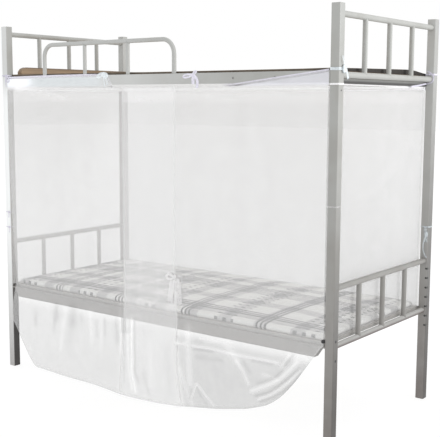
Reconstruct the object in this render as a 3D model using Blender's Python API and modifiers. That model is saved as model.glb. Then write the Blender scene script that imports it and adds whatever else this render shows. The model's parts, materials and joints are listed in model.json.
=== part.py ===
# A mosquito net canopy tied inside the lower berth of a steel bunk bed.
# Metres, +Z up. X runs along the bed, -Y is its open front and +X is its right end.
# The origin is on the floor under the middle of the whole object's box.

import math
from collections import namedtuple

import bmesh
import bpy
import numpy as np
from mathutils import Matrix, Vector

# ---- the bed: driving dimensions ----
BED_LENGTH = 2.0
BED_WIDTH = 0.90
BED_HEIGHT = 1.79
SET_BACK = 0.0233           # the bed's middle lies behind the origin, because the skirt bulges forward
SEAT = 0.0003               # gap between two pieces that touch
WELD = 0.00001

POST = 0.040                # square tube
POST_ROUNDING = 0.004
POST_X = (BED_LENGTH - POST) / 2
POST_Y = (BED_WIDTH - POST) / 2
INNER_X = BED_LENGTH / 2 - POST
INNER_Y = BED_WIDTH / 2 - POST

RAIL_HEIGHT = 0.050         # side rails
RAIL_THICKNESS = 0.030
RAIL_FACE = 0.448           # outer face, from the bed's middle
RAIL_ROUNDING = 0.003
UPPER_RAIL_Z = 1.485        # undersides
LOWER_RAIL_Z = 0.387
RAIL_CUT_X = 0.913          # the lower rails' bottom corners are cut from here
RAIL_HOOK_X = 0.941         # to here, under the flat hook that enters the post
RAIL_HOOK_HEIGHT = 0.007

FRAME_TUBE = 0.0125         # radius of the end frames' rails
UPRIGHT_TUBE = 0.011
UPRIGHT_SPACING = 0.2125
EndFrame = namedtuple("EndFrame", "name top low")
END_FRAMES = (
    EndFrame("upper", 1.752, 1.519),
    EndFrame("lower", 0.673, 0.4345),
)

CROSS_BAR = {"x": (0.930, 0.965), "z": (1.487, 1.505)}

GUARD_TUBE = 0.010
GUARD_BAR = 0.009
GUARD_Y = -0.4355
GUARD_TOP = 1.682
GUARD_LEGS = (-0.670, 0.169)
GUARD_BENDS = (0.112, 0.060)
GUARD_BAR_X = (-0.390, -0.112)

DECK_THICKNESS = 0.012
DECK_X = 0.955
DECK_Y = 0.424

BATTEN = {"x": (-0.955, -0.925), "front": -0.385, "back": 0.400, "height": 0.038}
BATTEN_NOSE = ((0.000, 0.014), (0.013, 0.030), (0.033, 0.038))   # back from the front, up

MATTRESS_X = 0.935
MATTRESS_Y = (-0.415, 0.400)
MATTRESS_EDGE = 0.0253
MATTRESS_CROWN = 0.020
MATTRESS_ROUNDING = 0.007

# ---- the net: driving dimensions ----
NET = 0.0012                # thickness of every sheet
DOOR_Y = -0.4515            # middle plane of the inner door panel
DOOR_STEP = 0.003           # the outer door panel lies this far in front of the inner one
DOOR_X = 0.957              # half the width of the front
OVERLAP_X = (-0.145, 0.178) # free edge of the inner panel, free edge of the outer panel
WALL_X = 0.9545             # middle planes of the end walls and of the back wall
WALL_Y = 0.408
WALL_TOP = 1.4687
WALL_FOOT = 0.4515
ROOF_Z = 1.4765
ROOF_SAG = 0.018
SKIRT_TOP = 0.500           # the front falls straight down to here and flares out below

TAPE_HEIGHT = 0.012
TAPE = 0.0024               # the tape is folded double round the seam
TAPE_Y = -0.4524

EdgePoint = namedtuple("EdgePoint", "x z")
TOP_EDGE = (                # the front's top edge, pulled up over the rail at both ends
    EdgePoint(-0.957, 1.5300),
    EdgePoint(-0.600, 1.5280),
    EdgePoint(-0.330, 1.5325),
    EdgePoint(-0.200, 1.5325),
    EdgePoint(-0.105, 1.4790),
    EdgePoint(0.520, 1.4780),
    EdgePoint(0.957, 1.5360),
)

HemPoint = namedtuple("HemPoint", "x z flare")
HEM = (                     # the front's lower edge, and how far it stands forward of the wall
    HemPoint(-0.957, 0.262, 0.0020),
    HemPoint(-0.915, 0.222, 0.0105),
    HemPoint(-0.845, 0.146, 0.0245),
    HemPoint(-0.775, 0.066, 0.0305),
    HemPoint(-0.745, 0.046, 0.0345),
    HemPoint(-0.493, 0.039, 0.0385),
    HemPoint(-0.295, 0.038, 0.0385),
    HemPoint(-0.111, 0.023, 0.0385),
    HemPoint(0.065, 0.029, 0.0385),
    HemPoint(0.221, 0.043, 0.0385),
    HemPoint(0.458, 0.081, 0.0385),
    HemPoint(0.608, 0.114, 0.0385),
    HemPoint(0.708, 0.149, 0.0305),
    HemPoint(0.772, 0.196, 0.0225),
    HemPoint(0.833, 0.270, 0.0145),
    HemPoint(0.918, 0.390, 0.0045),
    HemPoint(0.957, 0.450, 0.0020),
)

EdgeShift = namedtuple("EdgeShift", "z shift")
LEFT_EDGE = (               # how far the front's left edge draws in from the post at each height
    EdgeShift(0.26, 0.000),
    EdgeShift(0.335, 0.004),
    EdgeShift(0.42, 0.023),
    EdgeShift(0.50, 0.041),
    EdgeShift(0.65, 0.025),
    EdgeShift(1.00, 0.007),
    EdgeShift(1.53, 0.000),
)
DOOR_EDGE = (               # how far the outer panel's free edge swings to the right at each height
    EdgeShift(0.035, 0.082),
    EdgeShift(0.116, 0.058),
    EdgeShift(0.250, 0.030),
    EdgeShift(0.400, 0.017),
    EdgeShift(0.650, 0.000),
    EdgeShift(1.530, 0.000),
)
LEFT_EDGE_REACH = 0.36      # a shift of the edge dies out this far along the cloth
DOOR_EDGE_REACH = 0.32

Fold = namedtuple("Fold", "x_start z_start x_end z_end rise spread")
FOLDS = (                   # soft ridges in the skirt
    Fold(-0.758, 0.290, -0.758, 0.130, 0.006, 0.032),
    Fold(-0.612, 0.340, -0.612, 0.150, 0.007, 0.034),
    Fold(-0.466, 0.330, -0.466, 0.180, 0.006, 0.034),
    Fold(-0.057, 0.396, -0.050, 0.153, 0.006, 0.030),
    Fold(-0.050, 0.153, -0.016, 0.089, 0.006, 0.030),
    Fold(0.195, 0.345, 0.810, 0.345, 0.004, 0.024),
    Fold(0.488, 0.340, 0.593, 0.220, 0.006, 0.030),
    Fold(0.901, 0.378, 0.755, 0.253, 0.005, 0.030),
    Fold(0.755, 0.253, 0.622, 0.182, 0.006, 0.032),
)

SWAY = 0.004                # depth of the slack in the hanging walls
SWAY_LENGTHS = (0.31, 0.83)
DOOR_SWAY_Z = (0.70, 1.42)

DOOR_COLUMNS = 20           # columns left of the overlap, in it, and right of it
OVERLAP_COLUMNS = 8
RIGHT_COLUMNS = 19
WALL_ROWS = 6
SKIRT_ROWS = 11

# ---- the ties: driving dimensions ----
RIBBON = 0.0012             # thickness
RING_HEIGHT = 0.008
RING_Z = 1.5405             # the corner ties go round the posts just above the side rails
STRING_HEIGHT = 0.003
SEAM_STRING_Z = 1.481
LOW_STRING_Z = 1.005
LINK = {"x": 0.9577, "y": 0.4140, "width": 0.005, "thickness": 0.003, "foot": 1.470}
LOOP_FULLNESS = 1.54        # makes a loop's widest place as wide as it is called
KNOT_SIDES = 10
KNOT_RINGS = 6

ROUND_SIDES = 20
UPRIGHT_SIDES = 16

FINISHES = {                # colour, roughness, metallic
    "painted_steel": ((0.62, 0.62, 0.58), 0.45, 0.0),
    "plywood": ((0.46, 0.38, 0.30), 0.70, 0.0),
    "batten_wood": ((0.36, 0.26, 0.18), 0.65, 0.0),
    "mattress_cotton": ((0.80, 0.80, 0.80), 0.90, 0.0),
    "polyester_net": ((0.90, 0.90, 0.92), 0.80, 0.0),
    "cotton_tape": ((0.92, 0.92, 0.95), 0.85, 0.0),
}

SIDES = ((-1, "left"), (1, "right"))
FRONT_BACK = ((-1, "front"), (1, "back"))


# ---- scene and finishes ----

def new_collection(name):
    group = bpy.data.collections.new(name)
    bpy.context.scene.collection.children.link(group)
    return group


def finish_material(name):
    if name in bpy.data.materials:
        return bpy.data.materials[name]
    colour, roughness, metallic = FINISHES[name]
    material = bpy.data.materials.new(name)
    material.use_nodes = True
    shader = material.node_tree.nodes["Principled BSDF"]
    shader.inputs["Base Color"].default_value = (*colour, 1.0)
    shader.inputs["Roughness"].default_value = roughness
    shader.inputs["Metallic"].default_value = metallic
    return material


def adopt(obj, finish, smooth=False):
    """Make an object a part of the bed: its collection, parent, finish and shading."""
    parts.objects.link(obj)
    obj.parent = bed
    obj.data.materials.clear()
    obj.data.materials.append(finish_material(finish))
    if smooth:
        obj.data.shade_smooth()
        obj.data.set_sharp_from_angle(angle=math.radians(35))
    return obj


def mesh_object(name, bm):
    mesh = bpy.data.meshes.new(name)
    bm.to_mesh(mesh)
    bm.free()
    return bpy.data.objects.new(name, mesh)


# ---- plain shapes ----

def block(name, low, high, finish, rounding=0.0):
    """A block between two corners."""
    low = Vector(low)
    high = Vector(high)
    bm = bmesh.new()
    bmesh.ops.create_cube(bm, size=1.0)
    bmesh.ops.scale(bm, vec=high - low, verts=bm.verts)
    obj = adopt(mesh_object(name, bm), finish)
    obj.location = (low + high) / 2
    if rounding:
        edges = obj.modifiers.new("rounded edges", "BEVEL")
        edges.width = rounding
        edges.segments = 2
    return obj


def rod(name, foot, head, radius, sides=ROUND_SIDES):
    """A round bar between two points."""
    foot = Vector(foot)
    head = Vector(head)
    run = head - foot
    bm = bmesh.new()
    bmesh.ops.create_cone(
        bm, cap_ends=True, segments=sides, radius1=radius, radius2=radius, depth=run.length
    )
    obj = mesh_object(name, bm)
    obj.location = (foot + head) / 2
    obj.rotation_euler = run.to_track_quat("Z", "Y").to_euler()
    return obj


def cutting_rod(name, foot, head, radius):
    cutter = rod(name, foot, head, radius + SEAT)
    cutters.objects.link(cutter)
    cutter.parent = bed
    cutter.hide_render = True
    cutter.display_type = "WIRE"
    return cutter


def cope(obj, cutter):
    """Cut the end of a bar to the round of the tube that it meets."""
    cut = obj.modifiers.new("coped to " + cutter.name, "BOOLEAN")
    cut.operation = "DIFFERENCE"
    cut.solver = "EXACT"
    cut.object = cutter


def as_mesh(drawn):
    """The welded mesh object of a curve object, in the same place."""
    bpy.context.scene.collection.objects.link(drawn)
    bpy.context.view_layer.update()
    seen = drawn.evaluated_get(bpy.context.evaluated_depsgraph_get())
    mesh = bpy.data.meshes.new_from_object(seen)
    name = drawn.name
    place = drawn.matrix_world.copy()
    bpy.data.objects.remove(drawn)
    obj = bpy.data.objects.new(name, mesh)
    obj.matrix_world = place
    bm = bmesh.new()
    bm.from_mesh(mesh)
    bmesh.ops.remove_doubles(bm, verts=bm.verts, dist=WELD)
    bmesh.ops.recalc_face_normals(bm, faces=bm.faces)
    bm.to_mesh(mesh)
    bm.free()
    return obj


def bent_tube(name, points, radius):
    """A tube along a run of points, with filled ends."""
    curve = bpy.data.curves.new(name, "CURVE")
    curve.dimensions = "3D"
    curve.bevel_depth = radius
    curve.bevel_resolution = 2
    curve.use_fill_caps = True
    spline = curve.splines.new("POLY")
    spline.points.add(len(points) - 1)
    for knot, point in zip(spline.points, points):
        knot.co = (*point, 1.0)
    return as_mesh(bpy.data.objects.new(name, curve))


def flat_shape(name, outlines, thickness, frame):
    """A flat piece in a frame, cut to its outer outline and to the outlines of its holes."""
    curve = bpy.data.curves.new(name, "CURVE")
    curve.dimensions = "2D"
    curve.fill_mode = "BOTH"
    curve.extrude = thickness / 2
    for outline in outlines:
        spline = curve.splines.new("POLY")
        spline.points.add(len(outline) - 1)
        for knot, (across, up) in zip(spline.points, outline):
            knot.co = (across, up, 0.0, 1.0)
        spline.use_cyclic_u = True
    drawn = bpy.data.objects.new(name, curve)
    drawn.matrix_world = frame
    return as_mesh(drawn)


def front_frame(y):
    """Right and up as seen from the front, with the depth towards the viewer."""
    return Matrix(((1, 0, 0, 0), (0, 0, -1, y), (0, 1, 0, 0), (0, 0, 0, 1)))


def side_frame(x):
    """Right and up as seen from the bed's right end, with the depth towards the viewer."""
    return Matrix(((0, 0, 1, x), (1, 0, 0, 0), (0, 1, 0, 0), (0, 0, 0, 1)))


def level_frame(z):
    return Matrix.Translation((0, 0, z))


# ---- the bunk bed ----

def make_posts():
    for side, side_name in SIDES:
        for depth, depth_name in FRONT_BACK:
            bm = bmesh.new()
            bmesh.ops.create_cube(bm, size=1.0)
            bmesh.ops.scale(bm, vec=(POST, POST, BED_HEIGHT), verts=bm.verts)
            upright = [e for e in bm.edges if abs(e.verts[0].co.z - e.verts[1].co.z) > POST]
            bmesh.ops.bevel(
                bm, geom=upright, offset=POST_ROUNDING, segments=3, affect="EDGES", profile=0.5
            )
            post = adopt(mesh_object(f"post_{depth_name}_{side_name}", bm), "painted_steel", True)
            post.location = (side * POST_X, depth * POST_Y, BED_HEIGHT / 2)


def make_end_frames():
    reach = INNER_Y - SEAT
    for frame in END_FRAMES:
        for side, side_name in SIDES:
            x = side * POST_X
            stem = f"{frame.name}_end_{side_name}"
            coping = []
            for part, z in (("top", frame.top), ("low", frame.low)):
                tube = rod(f"{stem}_{part}_rail", (x, -reach, z), (x, reach, z), FRAME_TUBE)
                adopt(tube, "painted_steel", True)
                coping.append(
                    cutting_rod(f"cutter_{stem}_{part}", (x, -reach, z), (x, reach, z), FRAME_TUBE)
                )
            for number, place in enumerate((-1, 0, 1), start=1):
                y = place * UPRIGHT_SPACING
                bar = rod(
                    f"{stem}_upright_{number}",
                    (x, y, frame.low),
                    (x, y, frame.top),
                    UPRIGHT_TUBE,
                    UPRIGHT_SIDES,
                )
                adopt(bar, "painted_steel", True)
                for cutter in coping:
                    cope(bar, cutter)


def make_side_rails():
    reach = INNER_X - SEAT
    for depth, depth_name in FRONT_BACK:
        faces = sorted((depth * RAIL_FACE, depth * (RAIL_FACE - RAIL_THICKNESS)))
        block(
            f"upper_side_rail_{depth_name}",
            (-reach, faces[0], UPPER_RAIL_Z),
            (reach, faces[1], UPPER_RAIL_Z + RAIL_HEIGHT),
            "painted_steel",
            RAIL_ROUNDING,
        )
        top = LOWER_RAIL_Z + RAIL_HEIGHT
        hook = top - RAIL_HOOK_HEIGHT
        half = [
            (RAIL_CUT_X, LOWER_RAIL_Z),
            (RAIL_HOOK_X, hook),
            (reach, hook),
            (reach, top),
        ]
        outline = half + [(-x, z) for x, z in reversed(half)]
        rail = flat_shape(
            f"lower_side_rail_{depth_name}", [outline], RAIL_THICKNESS, front_frame(sum(faces) / 2)
        )
        adopt(rail, "painted_steel")


def make_cross_bars():
    reach = INNER_Y - SEAT
    for side, side_name in SIDES:
        inner, outer = sorted(side * x for x in CROSS_BAR["x"])
        block(
            f"upper_cross_bar_{side_name}",
            (inner, -reach, CROSS_BAR["z"][0]),
            (outer, reach, CROSS_BAR["z"][1]),
            "painted_steel",
        )


def bend(centre_x, centre_z, radius, start, end, steps=6):
    """Points of a bend in the guard's plane, between two angles."""
    angles = np.linspace(math.radians(start), math.radians(end), steps + 1)
    return [
        (centre_x + radius * math.cos(a), GUARD_Y, centre_z + radius * math.sin(a)) for a in angles
    ]


def make_guard():
    foot = UPPER_RAIL_Z + RAIL_HEIGHT + SEAT
    (left, right), (left_bend, right_bend) = GUARD_LEGS, GUARD_BENDS
    points = [(left, GUARD_Y, foot)]
    points += bend(left + left_bend, GUARD_TOP - left_bend, left_bend, 180, 90)
    points += bend(right - right_bend, GUARD_TOP - right_bend, right_bend, 90, 0)
    points.append((right, GUARD_Y, foot))
    adopt(bent_tube("guard_rail", points, GUARD_TUBE), "painted_steel", True)
    run = ((left + left_bend, GUARD_Y, GUARD_TOP), (right - right_bend, GUARD_Y, GUARD_TOP))
    cutter = cutting_rod("cutter_guard_rail", *run, GUARD_TUBE)
    for number, x in enumerate(GUARD_BAR_X, start=1):
        bar = rod(
            f"guard_bar_{number}",
            (x, GUARD_Y, foot),
            (x, GUARD_Y, GUARD_TOP),
            GUARD_BAR,
            UPRIGHT_SIDES,
        )
        adopt(bar, "painted_steel", True)
        cope(bar, cutter)


def make_decks():
    for name, rail_z in (("upper_deck", UPPER_RAIL_Z), ("lower_deck", LOWER_RAIL_Z)):
        foot = rail_z + RAIL_HEIGHT + SEAT
        block(name, (-DECK_X, -DECK_Y, foot), (DECK_X, DECK_Y, foot + DECK_THICKNESS), "plywood")


def make_batten():
    foot = UPPER_RAIL_Z + RAIL_HEIGHT + DECK_THICKNESS + 2 * SEAT
    front, back = BATTEN["front"], BATTEN["back"]
    outline = [(front, foot), (back, foot), (back, foot + BATTEN["height"])]
    outline += [(front + inward, foot + up) for inward, up in reversed(BATTEN_NOSE)]
    left, right = BATTEN["x"]
    batten = flat_shape("deck_batten", [outline], right - left, side_frame((left + right) / 2))
    adopt(batten, "batten_wood")


def make_mattress():
    """A thin pad, crowned in the middle."""
    front, back = MATTRESS_Y
    foot = LOWER_RAIL_Z + RAIL_HEIGHT + DECK_THICKNESS + 2 * SEAT
    bm = bmesh.new()
    bmesh.ops.create_cube(bm, size=1.0)
    bmesh.ops.scale(bm, vec=(2 * MATTRESS_X, back - front, MATTRESS_EDGE), verts=bm.verts)
    cuts = [(1, x) for x in np.linspace(-MATTRESS_X, MATTRESS_X, 12)[1:-1]]
    cuts += [(0, y) for y in np.linspace(front - back, back - front, 8)[1:-1] / 2]
    for along_x, place in cuts:
        normal = (1, 0, 0) if along_x else (0, 1, 0)
        geometry = bm.verts[:] + bm.edges[:] + bm.faces[:]
        bmesh.ops.bisect_plane(
            bm, geom=geometry, plane_co=[place * n for n in normal], plane_no=normal
        )
    for vert in bm.verts:
        if vert.co.z > 0:
            across = 2 * vert.co.y / (back - front)
            vert.co.z += MATTRESS_CROWN * (1 - (vert.co.x / MATTRESS_X) ** 4) * (1 - across ** 4)
    pad = adopt(mesh_object("mattress", bm), "mattress_cotton", True)
    pad.location = (0, (front + back) / 2, foot + MATTRESS_EDGE / 2)
    edges = pad.modifiers.new("rounded edges", "BEVEL")
    edges.width = MATTRESS_ROUNDING
    edges.segments = 2


# ---- the net ----

def net_sheet(name, columns, rows, place, finish="polyester_net", thickness=NET):
    """A sheet of cloth: a grid whose points place() puts where they hang."""
    bm = bmesh.new()
    bmesh.ops.create_grid(bm, x_segments=len(columns) - 1, y_segments=len(rows) - 1, size=0.5)
    for vert in bm.verts:
        column = columns[round((vert.co.x + 0.5) * (len(columns) - 1))]
        row = rows[round((vert.co.y + 0.5) * (len(rows) - 1))]
        vert.co = place(column, row)
    sheet = adopt(mesh_object(name, bm), finish, True)
    cloth = sheet.modifiers.new("cloth thickness", "SOLIDIFY")
    cloth.thickness = thickness
    cloth.offset = 0.0
    return sheet


def along(table, key, place):
    """A column of a table, read between its rows and eased over its corners."""
    by, values = zip(*((row[0], getattr(row, key)) for row in table))
    near = place + np.linspace(-0.02, 0.02, 5)
    return float(np.mean(np.interp(near, by, values)))


def top_of_front(x):
    xs, zs = zip(*TOP_EDGE)
    return float(np.interp(x, xs, zs))


def ease(share):
    """From 0 to 1 with a soft start and a soft end."""
    share = min(max(share, 0.0), 1.0)
    return share * share * (3 - 2 * share)


def shifted(column, z):
    """Where a column of the front stands at a height, as its edges draw the cloth along."""
    from_left = 1 - ease((column + DOOR_X) / LEFT_EDGE_REACH)
    from_door = 1 - ease(abs(column - OVERLAP_X[1]) / DOOR_EDGE_REACH)
    shift = from_left * along(LEFT_EDGE, "shift", z) + from_door * along(DOOR_EDGE, "shift", z)
    return column + shift


def fold_rise(x, z):
    total = 0.0
    for fold in FOLDS:
        start = np.array((fold.x_start, fold.z_start))
        run = np.array((fold.x_end, fold.z_end)) - start
        to_point = np.array((x, z)) - start
        share = np.clip(to_point @ run / (run @ run), 0, 1)
        away = np.linalg.norm(to_point - share * run)
        total += fold.rise * math.exp(-((away / fold.spread) ** 2))
    return total


def sway(along_wall, length, share):
    """Slack of a hanging wall, none at its two ends and none at its top."""
    waves = [0.5 + 0.5 * math.sin(2 * math.pi * along_wall / wave + wave) for wave in SWAY_LENGTHS]
    ends = min(along_wall, length - along_wall) / 0.12
    return SWAY * waves[0] * waves[1] * ease(ends) * math.sin(math.pi * min(max(share, 0), 1))


def drape(x, z, hem_z):
    """How far the front stands forward of its flat plane."""
    fall = (SKIRT_TOP - z) / (SKIRT_TOP - hem_z)
    low, high = DOOR_SWAY_Z
    slack = sway(x + DOOR_X, 2 * DOOR_X, (high - z) / (high - low))
    return along(HEM, "flare", x) * ease(fall) + fold_rise(x, z) * ease(4 * fall) + slack


def front_point(column, row, plane):
    """A point of a door panel: rows 0 to 1 go down the wall, and 1 to 2 down the skirt."""
    hem_z = along(HEM, "z", shifted(column, along(HEM, "z", column)))
    top = top_of_front(column) - TAPE_HEIGHT - SEAT
    if row <= 1:
        z = top + (SKIRT_TOP - top) * row
    else:
        z = SKIRT_TOP + (hem_z - SKIRT_TOP) * (row - 1)
    x = shifted(column, z)
    return (x, plane - drape(x, z, hem_z), z)


def front_columns():
    """Columns of the front, left of the overlap, in it and right of it."""
    inner, outer = OVERLAP_X
    left = np.linspace(-DOOR_X, inner, DOOR_COLUMNS + 1)
    middle = np.linspace(inner, outer, OVERLAP_COLUMNS + 1)
    right = np.linspace(outer, DOOR_X, RIGHT_COLUMNS + 1)
    return left, middle, right


def make_doors():
    left, middle, right = front_columns()
    rows = [*np.linspace(0, 1, WALL_ROWS + 1), *np.linspace(1, 2, SKIRT_ROWS + 1)[1:]]
    net_sheet(
        "door_panel_left",
        [*left, *middle[1:]],
        rows,
        lambda column, row: front_point(column, row, DOOR_Y - DOOR_STEP),
    )
    net_sheet(
        "door_panel_right",
        [*middle, *right[1:]],
        rows,
        lambda column, row: front_point(column, row, DOOR_Y),
    )


def make_walls():
    back = WALL_Y + TAPE / 2
    height = WALL_TOP - WALL_FOOT
    rows = np.linspace(WALL_FOOT, WALL_TOP, WALL_ROWS + 1)
    reach = WALL_X - NET / 2 - SEAT
    net_sheet(
        "back_wall",
        np.linspace(-reach, reach, 21),
        rows,
        lambda x, z: (x, WALL_Y - sway(x + reach, 2 * reach, (WALL_TOP - z) / height), z),
    )
    for side, side_name in SIDES:
        front = DOOR_Y + NET + SEAT / 2
        if side < 0:
            front -= DOOR_STEP
        net_sheet(
            f"end_wall_{side_name}",
            np.linspace(front, back, 12),
            rows,
            lambda y, z: (
                side * (WALL_X - sway(y - front, back - front, (WALL_TOP - z) / height)),
                y,
                z,
            ),
        )


def make_roof():
    """The roof sags between its four seams."""
    reach = WALL_X - TAPE / 2 - SEAT
    front = DOOR_Y + NET / 2 + SEAT
    back = WALL_Y - TAPE / 2 - SEAT
    middle = (front + back) / 2
    half = (back - front) / 2

    def place(x, y):
        sag = (1 - (x / reach) ** 2) * (1 - ((y - middle) / half) ** 2)
        return (x, y, ROOF_Z - ROOF_SAG * sag)

    net_sheet("roof", np.linspace(-reach, reach, 15), np.linspace(front, back, 8), place)


def make_tapes():
    foot = WALL_TOP + SEAT
    head = foot + TAPE_HEIGHT
    back = WALL_Y + TAPE / 2
    reach = WALL_X - TAPE / 2 - SEAT
    block(
        "binding_tape_back",
        (-reach, back - TAPE, foot),
        (reach, back, head),
        "cotton_tape",
    )
    for side, side_name in SIDES:
        inner, outer = sorted((side * (WALL_X - TAPE / 2), side * (WALL_X + TAPE / 2)))
        front = DOOR_Y + NET + SEAT / 2
        if side < 0:
            front -= DOOR_STEP
        block(
            f"binding_tape_{side_name}",
            (inner, front, foot),
            (outer, back, head),
            "cotton_tape",
        )
    left, middle, right = front_columns()
    net_sheet(
        "binding_tape_front",
        [*left, *middle[1:], *right[1:]],
        (0.0, 1.0),
        lambda x, up: (x, TAPE_Y, top_of_front(x) - TAPE_HEIGHT * (1 - up)),
        "cotton_tape",
        TAPE,
    )


# ---- the ties ----

def strip(path, width, frame, thickness=RIBBON):
    """A ribbon of one width along a path in a frame's plane."""
    path = np.array(path)
    run = np.gradient(path, axis=0)
    run /= np.linalg.norm(run, axis=1)[:, None]
    across = np.column_stack((-run[:, 1], run[:, 0])) * width / 2
    outline = np.vstack((path + across, (path - across)[::-1]))
    return flat_shape("strip", [outline], thickness, frame)


def teardrop(root, angle, length, width, steps=14):
    """A loop's outline: pointed at its root, round at its far end."""
    angle = math.radians(angle)
    out = np.array((math.cos(angle), math.sin(angle)))
    side = np.array((-out[1], out[0]))
    turns = [2 * math.pi * step / steps for step in range(steps)]
    return [
        np.array(root)
        + out * length * (1 - math.cos(turn)) / 2
        + side * width * math.sin(turn) * math.sin(turn / 2) / LOOP_FULLNESS
        for turn in turns
    ]


def loop(root, angle, length, width, ribbon, frame):
    """A flat loop of ribbon that starts at its root."""
    outer = teardrop(root, angle, length, width)
    turn = math.radians(angle)
    inner_root = np.array(root) + 2 * ribbon * np.array((math.cos(turn), math.sin(turn)))
    inner = teardrop(inner_root, angle, length - 3 * ribbon, width - 2 * ribbon)
    return flat_shape("loop", [outer, inner], RIBBON, frame)


def knot(centre, radii):
    bm = bmesh.new()
    bmesh.ops.create_uvsphere(bm, u_segments=KNOT_SIDES, v_segments=KNOT_RINGS, radius=1.0)
    bmesh.ops.scale(bm, vec=radii, verts=bm.verts)
    obj = mesh_object("knot", bm)
    obj.location = centre
    return obj


def rounded_square(centre, half, corner, steps=3):
    points = []
    for quarter in range(4):
        middle = math.radians(45 + 90 * quarter)
        away = (half - corner) * math.sqrt(2)
        for turn in np.linspace(middle - math.pi / 4, middle + math.pi / 4, steps + 1):
            points.append((
                centre[0] + away * math.cos(middle) + corner * math.cos(turn),
                centre[1] + away * math.sin(middle) + corner * math.sin(turn),
            ))
    return points


def ring(side, depth, z, height=RING_HEIGHT):
    """A ribbon round a post."""
    centre = (side * POST_X, depth * POST_Y)
    half = POST / 2 + SEAT
    outlines = [
        rounded_square(centre, half + RIBBON, POST_ROUNDING + RIBBON),
        rounded_square(centre, half, POST_ROUNDING),
    ]
    return flat_shape("ring", outlines, height, level_frame(z))


def link(side, depth, foot=LINK["foot"]):
    """The ribbon from a corner of the net's tape up to the ring, inside the post."""
    path = [(depth * LINK["y"], foot), (depth * LINK["y"], RING_Z + RING_HEIGHT / 4)]
    return strip(path, LINK["width"], side_frame(side * LINK["x"]), LINK["thickness"])


def tie(name, pieces):
    """One solid of a tie's pieces."""
    first = pieces[0]
    for piece in pieces:
        bpy.context.scene.collection.objects.link(piece)
    for piece in pieces[1:]:
        join = first.modifiers.new("joined", "BOOLEAN")
        join.operation = "UNION"
        join.solver = "EXACT"
        join.object = piece
    bpy.context.view_layer.update()
    seen = first.evaluated_get(bpy.context.evaluated_depsgraph_get())
    mesh = bpy.data.meshes.new_from_object(seen)
    joined = bpy.data.objects.new(name, mesh)
    joined.matrix_world = first.matrix_world.copy()
    for piece in pieces:
        bpy.data.objects.remove(piece)
    return adopt(joined, "cotton_tape")


def make_corner_ties():
    face = front_frame(-0.4575)
    tie("tie_front_left_top", [
        ring(-1, -1, RING_Z),
        link(-1, -1),
        knot((-0.9590, -0.4545, 1.5405), (0.009, 0.004, 0.007)),
        loop((-0.9580, 1.5400), -62, 0.036, 0.020, 0.004, face),
        strip([(-0.9620, 1.5400), (-0.9635, 1.5100), (-0.9600, 1.4830)], 0.006, face),
    ])
    face = side_frame(1.0060)
    tie("tie_front_right_top", [
        ring(1, -1, RING_Z),
        link(1, -1, SEAM_STRING_Z + STRING_HEIGHT / 2 + 0.002),
        knot((1.0045, -0.4130, 1.5410), (0.004, 0.009, 0.015)),
        strip([(-0.4150, 1.5420), (-0.4020, 1.5230), (-0.3920, 1.5040)], 0.010, face),
        strip([(-0.4150, 1.5450), (-0.4240, 1.5650), (-0.4330, 1.5840)], 0.004, face),
    ])
    tie("tie_back_left_top", [ring(-1, 1, RING_Z), link(-1, 1)])
    make_back_right_tie()


def make_back_right_tie():
    """Its ribbon leaves the net's tape under the cross bar and swings round the end rail's foot."""
    along_bar = 0.9672
    sweep = [(0.9668, 1.4995), (0.9780, 1.5010), (0.9900, 1.5050), (0.9975, 1.5140)]
    sweep += [(0.9975, 1.5280), (0.9920, 1.5410), (0.9800, 1.5500), (0.9660, 1.5555)]
    rise = [(0.2460, 1.4830), (0.3300, 1.4905), (0.4090, 1.4995)]
    hook = [(0.9562, 1.4830), (0.9678, 1.4830)]
    tie("tie_back_right_top", [
        ring(1, 1, RING_Z),
        link(1, 1),
        strip(sweep, 0.004, front_frame(0.4085)),
        strip(rise, 0.004, side_frame(along_bar)),
        strip(hook, 0.003, front_frame(0.2480), 0.006),
    ])


def make_rail_bows():
    face = front_frame(-0.4590)
    tie("rail_bow_left", [
        strip([(-0.4600, 1.5372), (-0.4480, 1.5366), (-0.4265, 1.5363)], RIBBON,
              side_frame(-0.2590), 0.008),
        knot((-0.2590, -0.4585, 1.5390), (0.011, 0.0045, 0.007)),
        loop((-0.2570, 1.5390), 176, 0.038, 0.014, 0.004, face),
        loop((-0.2610, 1.5390), 4, 0.038, 0.014, 0.004, face),
        strip([(-0.2600, 1.5370), (-0.2510, 1.5130), (-0.2490, 1.4830)], 0.007, front_frame(-0.4605)),
        strip([(-0.2580, 1.5370), (-0.2330, 1.5150), (-0.2230, 1.4830)], 0.007, front_frame(-0.4575)),
    ])
    over_rail = [(-0.4502, 1.4795), (-0.4502, 1.5330), (-0.4490, 1.5366), (-0.4455, 1.5372)]
    over_rail.append((-0.4265, 1.5364))
    tie("rail_bow_middle", [
        strip(over_rail, RIBBON, side_frame(0.2820), 0.008),
        knot((0.2820, -0.4548, 1.5270), (0.008, 0.0045, 0.008)),
        loop((0.2840, 1.5260), 188, 0.056, 0.016, 0.004, face),
        strip([(0.2810, 1.5250), (0.2800, 1.5060), (0.2800, 1.4860)], 0.007, front_frame(-0.4575)),
        strip([(0.2840, 1.5260), (0.3000, 1.5150), (0.3080, 1.4980), (0.3030, 1.4760)], 0.008,
              front_frame(-0.4560)),
    ])


def make_strings():
    tie("string_front_right_seam", [ring(1, -1, SEAM_STRING_Z, STRING_HEIGHT)])
    tie("string_front_right_low", [ring(1, -1, LOW_STRING_Z, STRING_HEIGHT)])


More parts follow.
